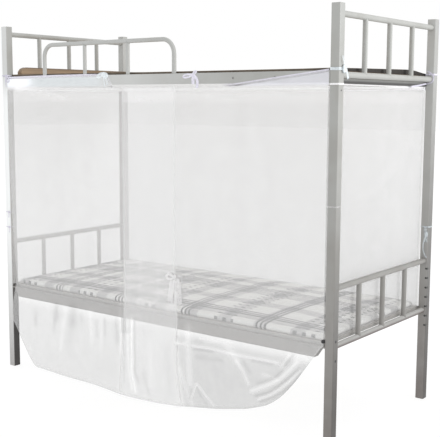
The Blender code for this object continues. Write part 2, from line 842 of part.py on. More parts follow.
def make_side_ties():
    face = front_frame(-0.4570)
    for name, z in (("tie_front_left_upper_side", 0.833), ("tie_front_left_lower_side", 0.754)):
        tie(name, [
            ring(-1, -1, z, STRING_HEIGHT),
            knot((-0.9690, -0.4545, z), (0.007, 0.004, 0.005)),
            strip([(-0.9690, z), (-0.9660, z - 0.014), (-0.9670, z - 0.028)], 0.004, face),
        ])
    tail = [(0.9900, 0.7950), (0.9810, 0.7700), (0.9765, 0.7450), (0.9780, 0.7220)]
    tail += [(0.9860, 0.7020), (0.9960, 0.6890)]
    tie("tie_back_right_side", [
        ring(1, 1, 0.8345),
        strip([(0.9900, 0.8360), (0.9900, 0.8000)], 0.006, front_frame(0.4085)),
        knot((0.9910, 0.4050, 0.8000), (0.008, 0.0045, 0.014)),
        strip(tail, 0.005, front_frame(0.4060)),
    ])


def make_door_tie():
    tie("door_tie", [
        knot((0.1780, -0.4601, 0.6280), (0.010, 0.0045, 0.013)),
        loop((0.1800, 0.6300), 168, 0.052, 0.030, 0.008, front_frame(-0.4625)),
        loop((0.1760, 0.6280), -18, 0.056, 0.028, 0.007, front_frame(-0.4608)),
        strip([(0.1740, 0.6280), (0.1570, 0.5800), (0.1430, 0.5150)], 0.020, front_frame(-0.4591)),
        strip([(0.1800, 0.6280), (0.1880, 0.5800), (0.1910, 0.5120)], 0.032, front_frame(-0.4574)),
    ])


for old in list(bpy.data.objects):
    bpy.data.objects.remove(old)

parts = new_collection("mosquito net canopy on a bunk bed")
cutters = new_collection("cutters")
bed = bpy.data.objects.new("bed", None)
bed.location = (0, SET_BACK, 0)
parts.objects.link(bed)

make_posts()
make_end_frames()
make_side_rails()
make_cross_bars()
make_guard()
make_decks()
make_batten()
make_mattress()
make_doors()
make_walls()
make_roof()
make_tapes()
make_corner_ties()
make_rail_bows()
make_strings()
make_side_ties()
make_door_tie()
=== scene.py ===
import json
import math
from functools import partial

import bmesh
import bpy
import numpy as np
from mathutils import Matrix, Vector, noise


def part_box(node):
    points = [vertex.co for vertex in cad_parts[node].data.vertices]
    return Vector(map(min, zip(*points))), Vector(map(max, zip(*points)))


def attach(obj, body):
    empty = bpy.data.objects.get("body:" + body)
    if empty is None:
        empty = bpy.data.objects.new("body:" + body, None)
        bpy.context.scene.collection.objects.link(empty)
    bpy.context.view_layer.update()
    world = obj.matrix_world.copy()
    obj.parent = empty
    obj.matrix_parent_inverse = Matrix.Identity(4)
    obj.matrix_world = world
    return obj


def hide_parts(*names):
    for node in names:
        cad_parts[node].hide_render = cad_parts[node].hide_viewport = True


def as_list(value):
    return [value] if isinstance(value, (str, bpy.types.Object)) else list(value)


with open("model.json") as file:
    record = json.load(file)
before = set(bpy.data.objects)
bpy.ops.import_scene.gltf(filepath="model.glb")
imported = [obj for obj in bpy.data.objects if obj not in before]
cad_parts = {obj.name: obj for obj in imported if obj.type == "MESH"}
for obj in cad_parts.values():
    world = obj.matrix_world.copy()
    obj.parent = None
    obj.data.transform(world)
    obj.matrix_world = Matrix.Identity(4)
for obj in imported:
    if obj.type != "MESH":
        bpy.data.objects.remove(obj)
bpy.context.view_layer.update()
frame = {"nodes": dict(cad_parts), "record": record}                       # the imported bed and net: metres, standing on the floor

# Every place below is measured from the middle of the bed, which lies a little behind the origin.
setBack = (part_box("post_front_left")[0].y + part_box("post_back_left")[1].y) / 2
print("frame loaded:", len(frame["nodes"]), "nodes, bed set back", round(setBack, 4), "m")


def hexColour(text):                    # sRGB hex to the linear values that a shader reads
    shares = [int(text[place:place + 2], 16) / 255 for place in (1, 3, 5)]
    linear = [s / 12.92 if s <= 0.04045 else ((s + 0.055) / 1.055) ** 2.4 for s in shares]
    return (*linear, 1.0)


colourMix = {"out": 2, "data_type": "RGBA"}     # a Mix node set for colours: its inputs are 0, 6 and 7


def addNode(tree, kind, inputs=(), out=0, **settings):      # inputs in order, or a dictionary of them
    node = tree.nodes.new("ShaderNode" + kind)
    for name, value in settings.items():
        setattr(node, name, value)
    for socket, value in inputs.items() if isinstance(inputs, dict) else enumerate(inputs):
        if isinstance(value, bpy.types.NodeSocket):
            tree.links.new(value, node.inputs[socket])
        else:
            node.inputs[socket].default_value = hexColour(value) if isinstance(value, str) else value
    return node.outputs[out]


def startMaterial(name, colour, roughness, **values):
    material = bpy.data.materials.new(name)
    material.use_nodes = True
    shader = material.node_tree.nodes["Principled BSDF"]
    shader.inputs["Base Color"].default_value = hexColour(colour)
    shader.inputs["Roughness"].default_value = roughness
    for socket, value in values.items():
        shader.inputs[socket.replace("_", " ")].default_value = value
    return material, partial(addNode, material.node_tree)


def endMaterial(material, **links):     # what the nodes gave goes to the shader
    tree = material.node_tree
    for socket, output in links.items():
        tree.links.new(output, tree.nodes["Principled BSDF"].inputs[socket.replace("_", " ")])
    return material


# Enamel sprayed on steel tube and baked: even, low gloss, with a faint orange peel, some
# cloudy handling marks and short scuffs. It darkens toward the floor with dust and painted shade.
enamel = {
    "colour": "#A9AAA7",
    "cloud": "#A1A19D",
    "scuff": "#8E8C86",
    # dust, and painted shade toward the floor and on the undersides
    "dust": "#4A3A34",
    # painted shade on a post's right side
    "sideShade": "#1E1B1A",
    # painted light on the enamel, and a foot that hardly shows through the skirt
    "pale": "#F4F6F6",
    "cloudSize": 0.16,
    "streaks": (260.0, 260.0, 34.0),    # scuffs are short and run along a post
    "peelSize": 0.004,                  # real peel is 1 to 2 mm; drawn coarser so that it shows
    "dustAndShadeFrom": 1.55,                   # height where the dust and painted shade begin
    "dustAndShadeShare": 0.65,
    "dustAndShadeCurve": 1.25,
}
wearAndPaintedLight = {                                # how each part of the bed has aged, and the light and shade painted on it: shares, and heights in metres
    "steel": {
        "paler": 0.0,                   # painted light, paler toward the bed's left end
        "lift": 0.0,                    # painted light, the whole part lighter
        # dust, and painted shade toward the floor
        "dust": 1.0,
        # painted shade below a height, in its own colour
        "shaded": 0.0, "shadedTo": 2.0, "shadedSoft": 0.04, "shadeColour": "#4A3A34", "inward": False,
        "under": 0.0,                   # painted shade on the undersides
        "litFront": 0.0, "litFrontTop": 0.5,                    # painted light on the side that looks to the front
        "paleFoot": 0.0,                # a foot that hardly shows through the skirt
        "sideShade": 0.0, "sideShadeFrom": 1.3, "sideShadeTop": 0.0,        # painted shade on the side that looks to the right, darker toward the floor
    },
    "frontLeftPost": {"sideShade": 0.85, "sideShadeFrom": 0.70, "sideShadeTop": 0.10, "litFront": 0.97},
    "frontRightPost": {"sideShade": 0.58, "sideShadeFrom": 1.10},
    "lowRail": {"lift": 0.20, "dust": 0.5, "under": 0.92},
    "backLeftPost": {
        "lift": 0.16, "dust": 0.5, "shaded": 0.72, "shadedTo": 1.50, "inward": True, "paleFoot": 0.85,
    },
    "backRightPost": {"lift": 0.18, "dust": 1.10, "sideShade": 0.66, "sideShadeFrom": 1.60, "sideShadeTop": 0.38},
    "upperRail": {"paler": 0.34},
    "guard": {"paler": 0.14},
    "crossBar": {"shaded": 0.97, "shadedTo": 1.5080, "shadedSoft": 0.0145, "shadeColour": "#343332"},
}


def sprayedEnamelSteel(name, **own):
    e = enamel
    w = {**wearAndPaintedLight["steel"], **own}
    material, node = startMaterial(name, e["colour"], 0.42)
    place = node("TexCoord", out="Object")
    x, _, height = node("SeparateXYZ", [place]).node.outputs
    facing = node("SeparateXYZ", [node("NewGeometry", out="Normal")]).node.outputs
    cloud = node("TexNoise", {"Vector": place, "Scale": 1 / e["cloudSize"], "Detail": 4.0})
    longWise = node("Mapping", {"Vector": place, "Scale": e["streaks"]})
    streak = node("TexNoise", {"Vector": longWise, "Scale": 1.0, "Detail": 2.0})
    where = node("TexNoise", {"Vector": place, "Scale": 9.0, "Detail": 1.0})
    patch = node("TexNoise", {"Vector": place, "Scale": 22.0, "Detail": 5.0})
    peel = node("TexNoise", {"Vector": place, "Scale": 1 / e["peelSize"], "Detail": 1.0})
    belowDustAndShade = node("MapRange", (height, 0.0, e["dustAndShadeFrom"], 1.0, 0.0))
    lower = node("Math", (belowDustAndShade, e["dustAndShadeCurve"]), operation="POWER")
    dust = e["dustAndShadeShare"] * w["dust"]
    inward = [node("Math", (            # the sides that look to the front and to the right
        node("MapRange", (facing["X"], 0.6, 0.9, 0.0, 1.0)),
        node("MapRange", (facing["Y"], -0.9, -0.6, 1.0, 0.0)),
    ), operation="MAXIMUM")] if w["inward"] else []
    coats = (                           # strength, colour, and the shares whose product says where it lies
        (1.0, e["cloud"], (cloud, 0.42, 0.66, 0.0, 1.0)),
        (1.0, e["scuff"], (streak, 0.66, 0.74, 0.0, 1.0), (where, 0.50, 0.62, 0.0, 0.6)),
        # painted light, paler toward the bed's left end
        (w["paler"], e["pale"], (x, -0.1, 0.5, w["paler"], 0.0)),
        # painted light, the whole part lighter
        (w["lift"], e["pale"], w["lift"]),
        # dust and painted shade, darker toward the floor
        (dust, e["dust"], lower, (patch, 0.25, 0.75, dust * 0.93, dust * 1.07)),
        # painted shade below a height, in its own colour
        (w["shaded"], w["shadeColour"],
         (height, w["shadedTo"] - w["shadedSoft"], w["shadedTo"], w["shaded"], 0.0), *inward),
        # painted shade on the undersides
        (w["under"], e["dust"], (facing["Z"], -0.45, 0.55, w["under"], 0.0)),
        # painted light on the side that looks to the front
        (w["litFront"], e["pale"], (facing["Y"], -0.9, -0.6, w["litFront"], 0.0),
         (height, 1.42, 1.56, 1.0, w["litFrontTop"]), (height, 0.0, 0.75, 0.30, 1.0)),
        (w["paleFoot"], e["pale"], (height, 0.37, 0.42, w["paleFoot"], 0.0), *inward),
        # painted shade on the side that looks to the right, darker toward the floor
        (w["sideShade"], e["sideShade"], (facing["X"], 0.6, 0.9, 0.0, w["sideShade"]),
         (height, 0.2, w["sideShadeFrom"], 1.0, w["sideShadeTop"])),
    )
    colour = e["colour"]
    for strength, coat, *shares in coats:
        if strength:
            lies = [node("MapRange", share) if isinstance(share, tuple) else share for share in shares]
            while len(lies) > 1:
                lies[:2] = [node("Math", lies[:2], operation="MULTIPLY")]
            colour = node("Mix", {0: lies[0], 6: colour, 7: coat}, **colourMix)
    return endMaterial(
        material, Base_Color=colour, Roughness=node("MapRange", (cloud, 0.3, 0.7, 0.36, 0.50)),
        Normal=node("Bump", {"Height": peel, "Strength": 0.06, "Distance": 0.001}),
    )


# Hot-pressed plywood: a sanded face veneer with a long grain, and dark glued layers on its edges.
plywood = {
    "face": "#A58E74",
    "faceDark": "#86705A",
    "edge": "#6E6254",
    "edgeDark": "#433A31",
    "endGrainShade": "#140F0B",              # the cut ends: their own darker end grain, and painted shade that makes them almost black
    "limed": "#B5B4B1",                 # the lower board, limed white
    "layer": 0.004,                     # real veneers are 1.5 mm; drawn coarser so that they show
    "grainWidth": 0.006,
}


def hotPressedPlywood(name, limed=0.0):
    p = plywood
    material, node = startMaterial(name, p["face"], 0.68)
    place = node("TexCoord", out="Object")
    stretched = node("Mapping", {"Vector": place, "Scale": (2.2, 1 / p["grainWidth"] / 4, 2.2)})
    grain = node("TexNoise", {
        "Vector": stretched, "Scale": 1.0, "Detail": 6.0, "Roughness": 0.62, "Distortion": 0.4,
    })
    rough = node("TexNoise", {"Vector": place, "Scale": 24.0, "Detail": 5.0})
    height = node("SeparateXYZ", [place], "Z")
    turns = node("Math", (height, math.tau / p["layer"]), operation="MULTIPLY")
    layers = node("Math", [turns], operation="SINE")
    edgeTone = node("Math", (layers, 0.22, rough), operation="MULTIPLY_ADD")
    facing = node("SeparateXYZ", [node("NewGeometry", out="Normal")]).node.outputs
    flat, end = (node("Math", [facing[axis]], operation="ABSOLUTE") for axis in "ZX")
    face = node("Mix", {0: node("MapRange", (grain, 0.36, 0.66)), 6: p["face"], 7: p["faceDark"]}, **colourMix)
    glued = node("MapRange", (edgeTone, 0.25, 0.85))
    edge = node("Mix", {0: glued, 6: p["edge"], 7: p["edgeDark"]}, **colourMix)
    # painted shade on the cut ends
    cut = node("Mix", {0: node("MapRange", (end, 0.5, 0.7, 0.0, 0.9)), 6: edge, 7: p["endGrainShade"]}, **colourMix)
    colour = node("Mix", {0: node("MapRange", (flat, 0.5, 0.7)), 6: cut, 7: face}, **colourMix)
    if limed:
        colour = node("Mix", {0: limed, 6: colour, 7: p["limed"]}, **colourMix)
    return endMaterial(
        material, Base_Color=colour,
        Normal=node("Bump", {"Height": grain, "Strength": 0.12, "Distance": 0.001}),
    )


# A planed pine batten, varnished long ago: warm grain along its length, dark knots and a
# rubbed darker upper edge.
batten = {
    "wood": "#A08A70",
    "grain": "#84705A",
    "knot": "#3A2D22",
    "rubbed": "#6C5D4E",
    "knotSpacing": 0.19,
    "grainWidth": 0.007,
}


def planedPineBatten():
    b = batten
    material, node = startMaterial("planedPineBatten", b["wood"], 0.55)
    place = node("TexCoord", out="Object")
    stretched = node("Mapping", {"Vector": place, "Scale": (60.0, 3.0, 1 / b["grainWidth"])})
    grain = node("TexNoise", {"Vector": stretched, "Scale": 1.0, "Detail": 5.0})
    flatWise = node("Mapping", {"Vector": place, "Scale": (0.0, 1 / b["knotSpacing"], 14.0)})
    cells = node("TexVoronoi", {"Vector": flatWise, "Scale": 1.0}, "Distance")
    height = node("SeparateXYZ", [place], "Z")
    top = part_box("deck_batten")[1].z
    colour = b["wood"]
    for share, over in (
        (node("MapRange", (grain, 0.38, 0.68)), b["grain"]),
        (node("MapRange", (cells, 0.05, 0.13, 1.0, 0.0)), b["knot"]),
        (node("MapRange", (height, top - 0.008, top - 0.002, 0.0, 0.9)), b["rubbed"]),
    ):
        colour = node("Mix", {0: share, 6: colour, 7: over}, **colourMix)
    bump = node("Bump", {"Height": grain, "Strength": 0.15, "Distance": 0.001})
    return endMaterial(material, Base_Color=colour, Normal=bump)


# Warp-knitted polyester net: white matt yarn round small open holes, so most of the light
# goes through. Holes are 1.3 mm; they are drawn at 4 mm so that they show.
netYarn = {
    "colour": "#DEDEDE",
    "holes": 0.004,
    "patchSize": 0.09,
    "hemWidth": 0.011,
    "hemShare": 0.06,                   # what a turned hem blocks more than the plain net
    "upperLift": 1.09,                  # painted light: the walls' highest part is drawn whitest
    "upperFrom": (1.400, 1.418),
    "upperTo": (1.472, 1.480),
}


def warpKnitPolyesterNet():
    n = netYarn
    material, node = startMaterial("warpKnitPolyesterNet", n["colour"], 0.8)
    lay, tone = (node("Attribute", out="Vector", attribute_name=name) for name in ("lay", "tone"))
    cover, rim = (node("Attribute", out="Fac", attribute_name=name) for name in ("cover", "rim"))
    turned = node("Mapping", {"Vector": lay, "Rotation": (0.0, 0.0, math.radians(45))})
    threads = []
    for axis in "XY":
        turns = node("Math", (node("SeparateXYZ", [turned], axis), math.tau / n["holes"]), operation="MULTIPLY")
        threads.append(node("MapRange", (node("Math", [turns], operation="COSINE"), 0.1, 1.0)))
    mesh = node("Math", threads, operation="MAXIMUM")
    patch = node("TexNoise", {"Vector": lay, "Scale": 1 / n["patchSize"], "Detail": 3.0})
    body = node("Math", (mesh, 0.10, 0.95), operation="MULTIPLY_ADD")
    for share in (node("MapRange", (patch, 0.3, 0.7, 0.95, 1.05)), cover):
        body = node("Math", (body, share), operation="MULTIPLY")
    hem = node("MapRange", (rim, n["hemWidth"] - 0.0015, n["hemWidth"], n["hemShare"], 0.0))
    height = node("SeparateXYZ", [node("TexCoord", out="Object")], "Z")
    # painted light on the walls' highest part
    lift = node("Math", (
        node("MapRange", (height, *n["upperFrom"], 1.0, n["upperLift"])),
        node("MapRange", (height, *n["upperTo"], 1.0, 1 / n["upperLift"])),
    ), operation="MULTIPLY")
    toned = node("VectorMath", (hexColour(n["colour"])[:3], tone), operation="MULTIPLY")
    return endMaterial(
        material, Base_Color=node("VectorMath", {0: toned, "Scale": lift}, operation="SCALE"),
        Alpha=node("Math", (body, hem), operation="ADD", use_clamp=True),
        Normal=node("Bump", {"Height": mesh, "Strength": 0.10, "Distance": 0.0006}),
    )


# Woven polyester tape: soft white ribbon with ribs across it and a slight silky sheen.
tapeYarn = {
    "lilac": ("#F1EFF9", "#D9D6E6"),    # colour of the ribs, and of the valleys between them
    "cool": ("#F6FBFE", "#E0E9EE"),
    "white": ("#FFFFFF", "#F2F1F2"),
    "worn": "#EDEDEC",                  # where the lilac has washed out
    "ribs": 0.0022,                     # real ribs are 0.6 mm apart; drawn coarser so that they show
}


def wovenPolyesterTape(name, shade):
    t = tapeYarn
    rib, valley = t[shade]
    material, node = startMaterial(name, rib, 0.62, Sheen_Weight=0.3, Sheen_Roughness=0.35)
    lay = node("Attribute", out="Vector", attribute_name="lay")
    along, _, washed = node("SeparateXYZ", [lay]).node.outputs
    ribs = node("Math", [node("Math", (along, math.tau / t["ribs"]), operation="MULTIPLY")], operation="SINE")
    rubbed = node("TexNoise", {"Vector": lay, "Scale": 90.0, "Detail": 3.0})
    tone = node("Math", (ribs, 0.14, rubbed), operation="MULTIPLY_ADD")
    ribbed = node("Mix", {0: node("MapRange", (tone, 0.35, 0.75)), 6: valley, 7: rib}, **colourMix)
    return endMaterial(
        material, Base_Color=node("Mix", {0: washed, 6: ribbed, 7: t["worn"]}, **colourMix),
        Alpha=node("Attribute", out="Fac", attribute_name="cover"),
        Normal=node("Bump", {"Height": ribs, "Strength": 0.25, "Distance": 0.0004}),
    )


# Yarn-dyed cotton ticking in a plain check: pale ground, grey bands both ways, a mid grey
# where two bands cross, sets of thin dark stripes both ways and strips of small dashes. It is a
# design of its own. Threads of 0.5 mm are drawn at 3 mm.
ticking = {
    "ground": "#DCDCDA",
    "band": "#55545A",
    "stripe": "#26252A",
    "check": 0.190,
    "stripeEvery": 0.420,
    "stripeShift": {"X": 4.862, "Y": -0.22},        # radians, so that no set falls on an edge
    "dashShift": 1.720,
    "stripePitch": 0.022,
    "dash": 0.046,
    "thread": 0.003,
}


def wovenCottonTicking():
    t = ticking
    material, node = startMaterial("wovenCottonTicking", t["ground"], 0.88, Sheen_Weight=0.2)
    place = node("TexCoord", out="Object")
    soft = node("TexNoise", {"Vector": place, "Scale": 16.0, "Detail": 4.0})

    def waves(axis, period, shift=0.0):
        along = node("SeparateXYZ", [place], axis)
        turns = node("Math", (along, math.tau / period, shift), operation="MULTIPLY_ADD")
        return node("Math", [turns], operation="SINE")

    bands, lines = [], []
    for axis, shift in t["stripeShift"].items():
        ragged = node("Math", (soft, 0.12, waves(axis, t["check"])), operation="MULTIPLY_ADD")
        bands.append(node("MapRange", (ragged, 0.42, 0.52, 0.0, 0.42)))
        window = node("MapRange", (waves(axis, t["stripeEvery"], shift), 0.895, 0.905))
        fine = node("MapRange", (waves(axis, t["stripePitch"]), -0.1, 0.3, 0.0, 0.9))
        lines.append(node("Math", (window, fine), operation="MULTIPLY"))
    dark = node("MapRange", (waves("X", t["dash"]), 0.1, 0.3, 0.0, 0.8))
    row = node("MapRange", (waves("Y", t["dash"] * 0.8), 0.3, 0.5))
    strip = node("MapRange", (waves("X", t["stripeEvery"], t["dashShift"]), 0.55, 0.58))
    for share in (row, strip):
        dark = node("Math", (dark, share), operation="MULTIPLY")
    for line in lines:
        dark = node("Math", (line, dark), operation="MAXIMUM")
    both = node("Math", bands, operation="ADD")
    worn = node("MapRange", (soft, 0.3, 0.7, 0.75, 1.1))
    faded = node("Math", (both, worn), operation="MULTIPLY", use_clamp=True)
    checked = node("Mix", {0: faded, 6: t["ground"], 7: t["band"]}, **colourMix)
    weave = node("Math", [waves(axis, t["thread"]) for axis in "XY"], operation="MULTIPLY")
    return endMaterial(
        material, Base_Color=node("Mix", {0: dark, 6: checked, 7: t["stripe"]}, **colourMix),
        Normal=node("Bump", {"Height": weave, "Strength": 0.2, "Distance": 0.0006}),
    )


# Zinc-plated steel, cold headed: small bright screws, a little dull.
def zincPlatedScrew():
    material, node = startMaterial("zincPlatedScrew", "#9A9A98", 0.38, Metallic=1.0)
    dull = node("TexNoise", {"Vector": node("TexCoord", out="Object"), "Scale": 700.0, "Detail": 3.0})
    return endMaterial(material, Roughness=node("MapRange", (dull, 0.3, 0.7, 0.28, 0.55)))


# Moulded black nylon: the plugs in unused bolt holes and the dark sockets of screws, a little dusty.
def mouldedBlackNylon():
    material, node = startMaterial("mouldedBlackNylon", "#2A2A2C", 0.55)
    dust = node("TexNoise", {"Vector": node("TexCoord", out="Object"), "Scale": 420.0, "Detail": 2.0})
    share = node("MapRange", (dust, 0.4, 0.8, 0.0, 0.6))
    return endMaterial(material, Base_Color=node("Mix", {0: share, 6: "#232325", 7: "#4A4A48"}, **colourMix))


# The floor: a shooting table of opal acrylic lit from below, matt and almost without shadows.
opal = {"cloud": ("#686868", "#787878"), "glow": 0.85}


def opalAcrylicTable():
    low, high = opal["cloud"]
    material, node = startMaterial(
        "opalAcrylicTable", low, 0.9, Emission_Color=hexColour("#FFFFFF"), Emission_Strength=opal["glow"],
    )
    cloud = node("TexNoise", {"Vector": node("TexCoord", out="Object"), "Scale": 3.0, "Detail": 3.0})
    return endMaterial(material, Base_Color=node("Mix", {0: cloud, 6: low, 7: high}, **colourMix))


finishes = {
    **{part: sprayedEnamelSteel(part + "Enamel", **own) for part, own in wearAndPaintedLight.items()},
    "plywood": hotPressedPlywood("hotPressedPlywood"),
    "paleBoard": hotPressedPlywood("limedPlywood", 0.88),
    "batten": planedPineBatten(),
    "net": warpKnitPolyesterNet(),
    "tape": wovenPolyesterTape("wovenPolyesterTape", "lilac"),
    "coolTape": wovenPolyesterTape("blueWhitePolyesterTape", "cool"),
    "whiteTape": wovenPolyesterTape("whitePolyesterTape", "white"),
    "ticking": wovenCottonTicking(),
    "zinc": zincPlatedScrew(),
    "nylon": mouldedBlackNylon(),
    "floor": opalAcrylicTable(),
}
print("materials made:", len(finishes))


photoCamera = {                         # it stands where the photograph was taken from
    "place": (2.757, -3.476, 1.410),    # metres from the middle of the bed
    "yaw": 37.584,                      # degrees, turned to the left
    "pitch": -7.401,
    "roll": 0.256,
    "lens": 73.18,                      # mm on a 36 mm sensor
}


def makeCamera():
    c = photoCamera
    yaw, pitch, roll = (math.radians(c[name]) for name in ("yaw", "pitch", "roll"))
    ahead = Vector((-math.sin(yaw) * math.cos(pitch), math.cos(yaw) * math.cos(pitch), math.sin(pitch)))
    level = ahead.cross(Vector((0, 0, 1))).normalized()
    upright = level.cross(ahead)
    right = math.cos(roll) * level + math.sin(roll) * upright
    up = math.cos(roll) * upright - math.sin(roll) * level
    camera = bpy.data.objects.new("photoCamera", bpy.data.cameras.new("photoCamera"))
    camera.data.sensor_width = 36.0
    camera.data.lens = c["lens"]
    camera.data.clip_end = 200.0
    turn = Matrix((right, up, -ahead)).transposed().to_4x4()
    camera.matrix_world = Matrix.Translation(Vector(c["place"]) + Vector((0, setBack, 0))) @ turn
    bpy.context.scene.collection.objects.link(camera)
    bpy.context.scene.camera = camera


studio = {
    "floorSize": 40.0,
    "skyStrength": 1.0,
    "keyPlace": (4.4, 1.3, 2.5),        # lights the bed's right end, and more of its top than its foot
    "keyAim": (0.98, 0.0, 1.65),
    "keySize": 1.6,
    "keySpread": 50.0,                  # degrees
    "keyPower": 9.0,
}


def makeStudio():
    s = studio
    bm = bmesh.new()
    bmesh.ops.create_grid(bm, x_segments=1, y_segments=1, size=s["floorSize"])
    mesh = bpy.data.meshes.new("studioFloor")
    bm.to_mesh(mesh)
    bm.free()
    mesh.materials.append(finishes["floor"])
    floor = bpy.data.objects.new("studioFloor", mesh)
    bpy.context.scene.collection.objects.link(floor)
    world = bpy.data.worlds.new("whiteStudio")
    world.use_nodes = True
    world.node_tree.nodes["Background"].inputs["Color"].default_value = (1.0, 1.0, 1.0, 1.0)
    world.node_tree.nodes["Background"].inputs["Strength"].default_value = s["skyStrength"]
    bpy.context.scene.world = world
    lamp = bpy.data.lights.new("keyLight", "AREA")
    lamp.size = s["keySize"]
    lamp.energy = s["keyPower"]
    lamp.spread = math.radians(s["keySpread"])
    key = bpy.data.objects.new("keyLight", lamp)
    key.location = s["keyPlace"]
    aim = Vector(s["keyAim"]) - Vector(s["keyPlace"])
    key.rotation_euler = aim.to_track_quat("-Z", "Y").to_euler()
    bpy.context.scene.collection.objects.link(key)
    bpy.context.scene.view_settings.view_transform = "Standard"
    bpy.context.scene.cycles.transparent_max_bounces = 24      # up to four sheets lie behind each other


makeCamera()
makeStudio()
print("camera and studio made")


def finishPiece(name, bm, finish, slot, *replaced, smooth=True):
    bmesh.ops.translate(bm, verts=bm.verts, vec=(0, setBack, 0))
    mesh = bpy.data.meshes.new(name)
    bm.to_mesh(mesh)
    bm.free()
    mesh.materials.append(finishes[finish])
    if smooth:
        mesh.shade_smooth()
    piece = bpy.data.objects.new(name, mesh)
    bpy.context.scene.collection.objects.link(piece)
    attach(piece, "root")
    if replaced:
        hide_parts(*replaced)
    return piece


def letLightBy(piece):                  # a white net hands on the light that it catches, so it shades nothing
    piece.visible_diffuse = False
    piece.visible_shadow = False


def thicken(piece, thickness):
    cloth = piece.modifiers.new("clothThickness", "SOLIDIFY")
    cloth.thickness = thickness
    cloth.offset = 0.0
    cloth.use_even_offset = False


def easeIn(share):                      # from 0 to 1 with a soft start and a soft end
    share = np.clip(share, 0.0, 1.0)
    return share * share * (3 - 2 * share)


def rising(at, start, end):             # 0 before start, 1 past end, whichever way that lies
    return easeIn((at - start) / (end - start))


def evenly(start, end, step):
    return np.linspace(start, end, max(2, round(abs(end - start) / step) + 1))


def gridPoints(bm, columns, rows):      # a new grid's points, each with its column and its row
    made = bmesh.ops.create_grid(bm, x_segments=columns - 1, y_segments=rows - 1, size=0.5)["verts"]
    for vert in made:
        yield vert, round((vert.co.x + 0.5) * (columns - 1)), round((vert.co.y + 0.5) * (rows - 1))


def clothGrid(places, looks):           # each point put where it hangs, with what the finish reads there
    bm = bmesh.new()
    kinds = bm.verts.layers
    for name, values in looks.items():
        (kinds.float_vector if values.ndim == 3 else kinds.float).new(name)
    layers = {name: kinds.float_vector.get(name) or kinds.float.get(name) for name in looks}
    for vert, i, j in gridPoints(bm, places.shape[1], places.shape[0]):
        vert.co = places[j, i]
        for name, layer in layers.items():
            vert[layer] = looks[name][j, i]
    return bm


frontPanel = {                          # how the front hangs
    "halfWidth": 0.957,
    "innerPlane": -0.4515,
    "outerPlane": -0.4545,
    "overlap": (-0.145, 0.178),         # free edge of the inner panel, free edge of the outer one
    "skirtTop": 0.500,
    "tapeHeight": 0.012,
    "step": 0.0062,                     # spacing of the cloth's points
    "thickness": 0.0009,
    "wrinkleDepth": 0.006,
    "wrinkleWidth": 0.0065,             # the least half width of a wrinkle
}
topEdge = [                             # x, height of the front's top edge
    (-0.957, 1.5350), (-0.600, 1.5395), (-0.330, 1.5405), (-0.256, 1.5385), (-0.238, 1.5345),
    (-0.208, 1.4885), (0.495, 1.4880), (0.957, 1.5410),
]
hemLine = [                             # x, height, how far it stands forward of the wall
    (-0.957, 0.262, 0.0020), (-0.915, 0.222, 0.0105), (-0.845, 0.146, 0.0245),
    (-0.775, 0.066, 0.0305), (-0.745, 0.046, 0.0345), (-0.493, 0.039, 0.0385),
    (-0.295, 0.038, 0.0385), (-0.111, 0.023, 0.0385), (0.065, 0.029, 0.0385),
    (0.221, 0.043, 0.0385), (0.458, 0.081, 0.0385), (0.608, 0.114, 0.0385),
    (0.708, 0.149, 0.0305), (0.772, 0.196, 0.0225), (0.833, 0.270, 0.0145),
    (0.918, 0.390, 0.0045), (0.957, 0.450, 0.0020),
]
leftEdge = [                            # height, how far the left edge draws in from the post
    (0.26, 0.000), (0.335, 0.004), (0.42, 0.023), (0.50, 0.041),
    (0.65, 0.025), (1.00, 0.007), (1.53, 0.000),
]
doorEdge = [                            # height, how far the outer panel's edge swings right
    (0.035, 0.082), (0.116, 0.058), (0.250, 0.030), (0.400, 0.017), (0.650, 0.000), (1.530, 0.000),
]
folds = [                               # from x, z to x, z; how far it stands out; half its width
    (-0.758, 0.290, -0.758, 0.130, 0.006, 0.032),
    (-0.612, 0.340, -0.612, 0.150, 0.007, 0.034),
    (-0.466, 0.330, -0.466, 0.180, 0.006, 0.034),
    (-0.057, 0.396, -0.050, 0.153, 0.006, 0.030),
    (-0.050, 0.153, -0.016, 0.089, 0.006, 0.030),
    (0.195, 0.345, 0.810, 0.345, 0.004, 0.024),
    (0.488, 0.340, 0.593, 0.220, 0.006, 0.030),
    (0.901, 0.378, 0.755, 0.253, 0.005, 0.030),
    (0.755, 0.253, 0.622, 0.182, 0.006, 0.032),
]
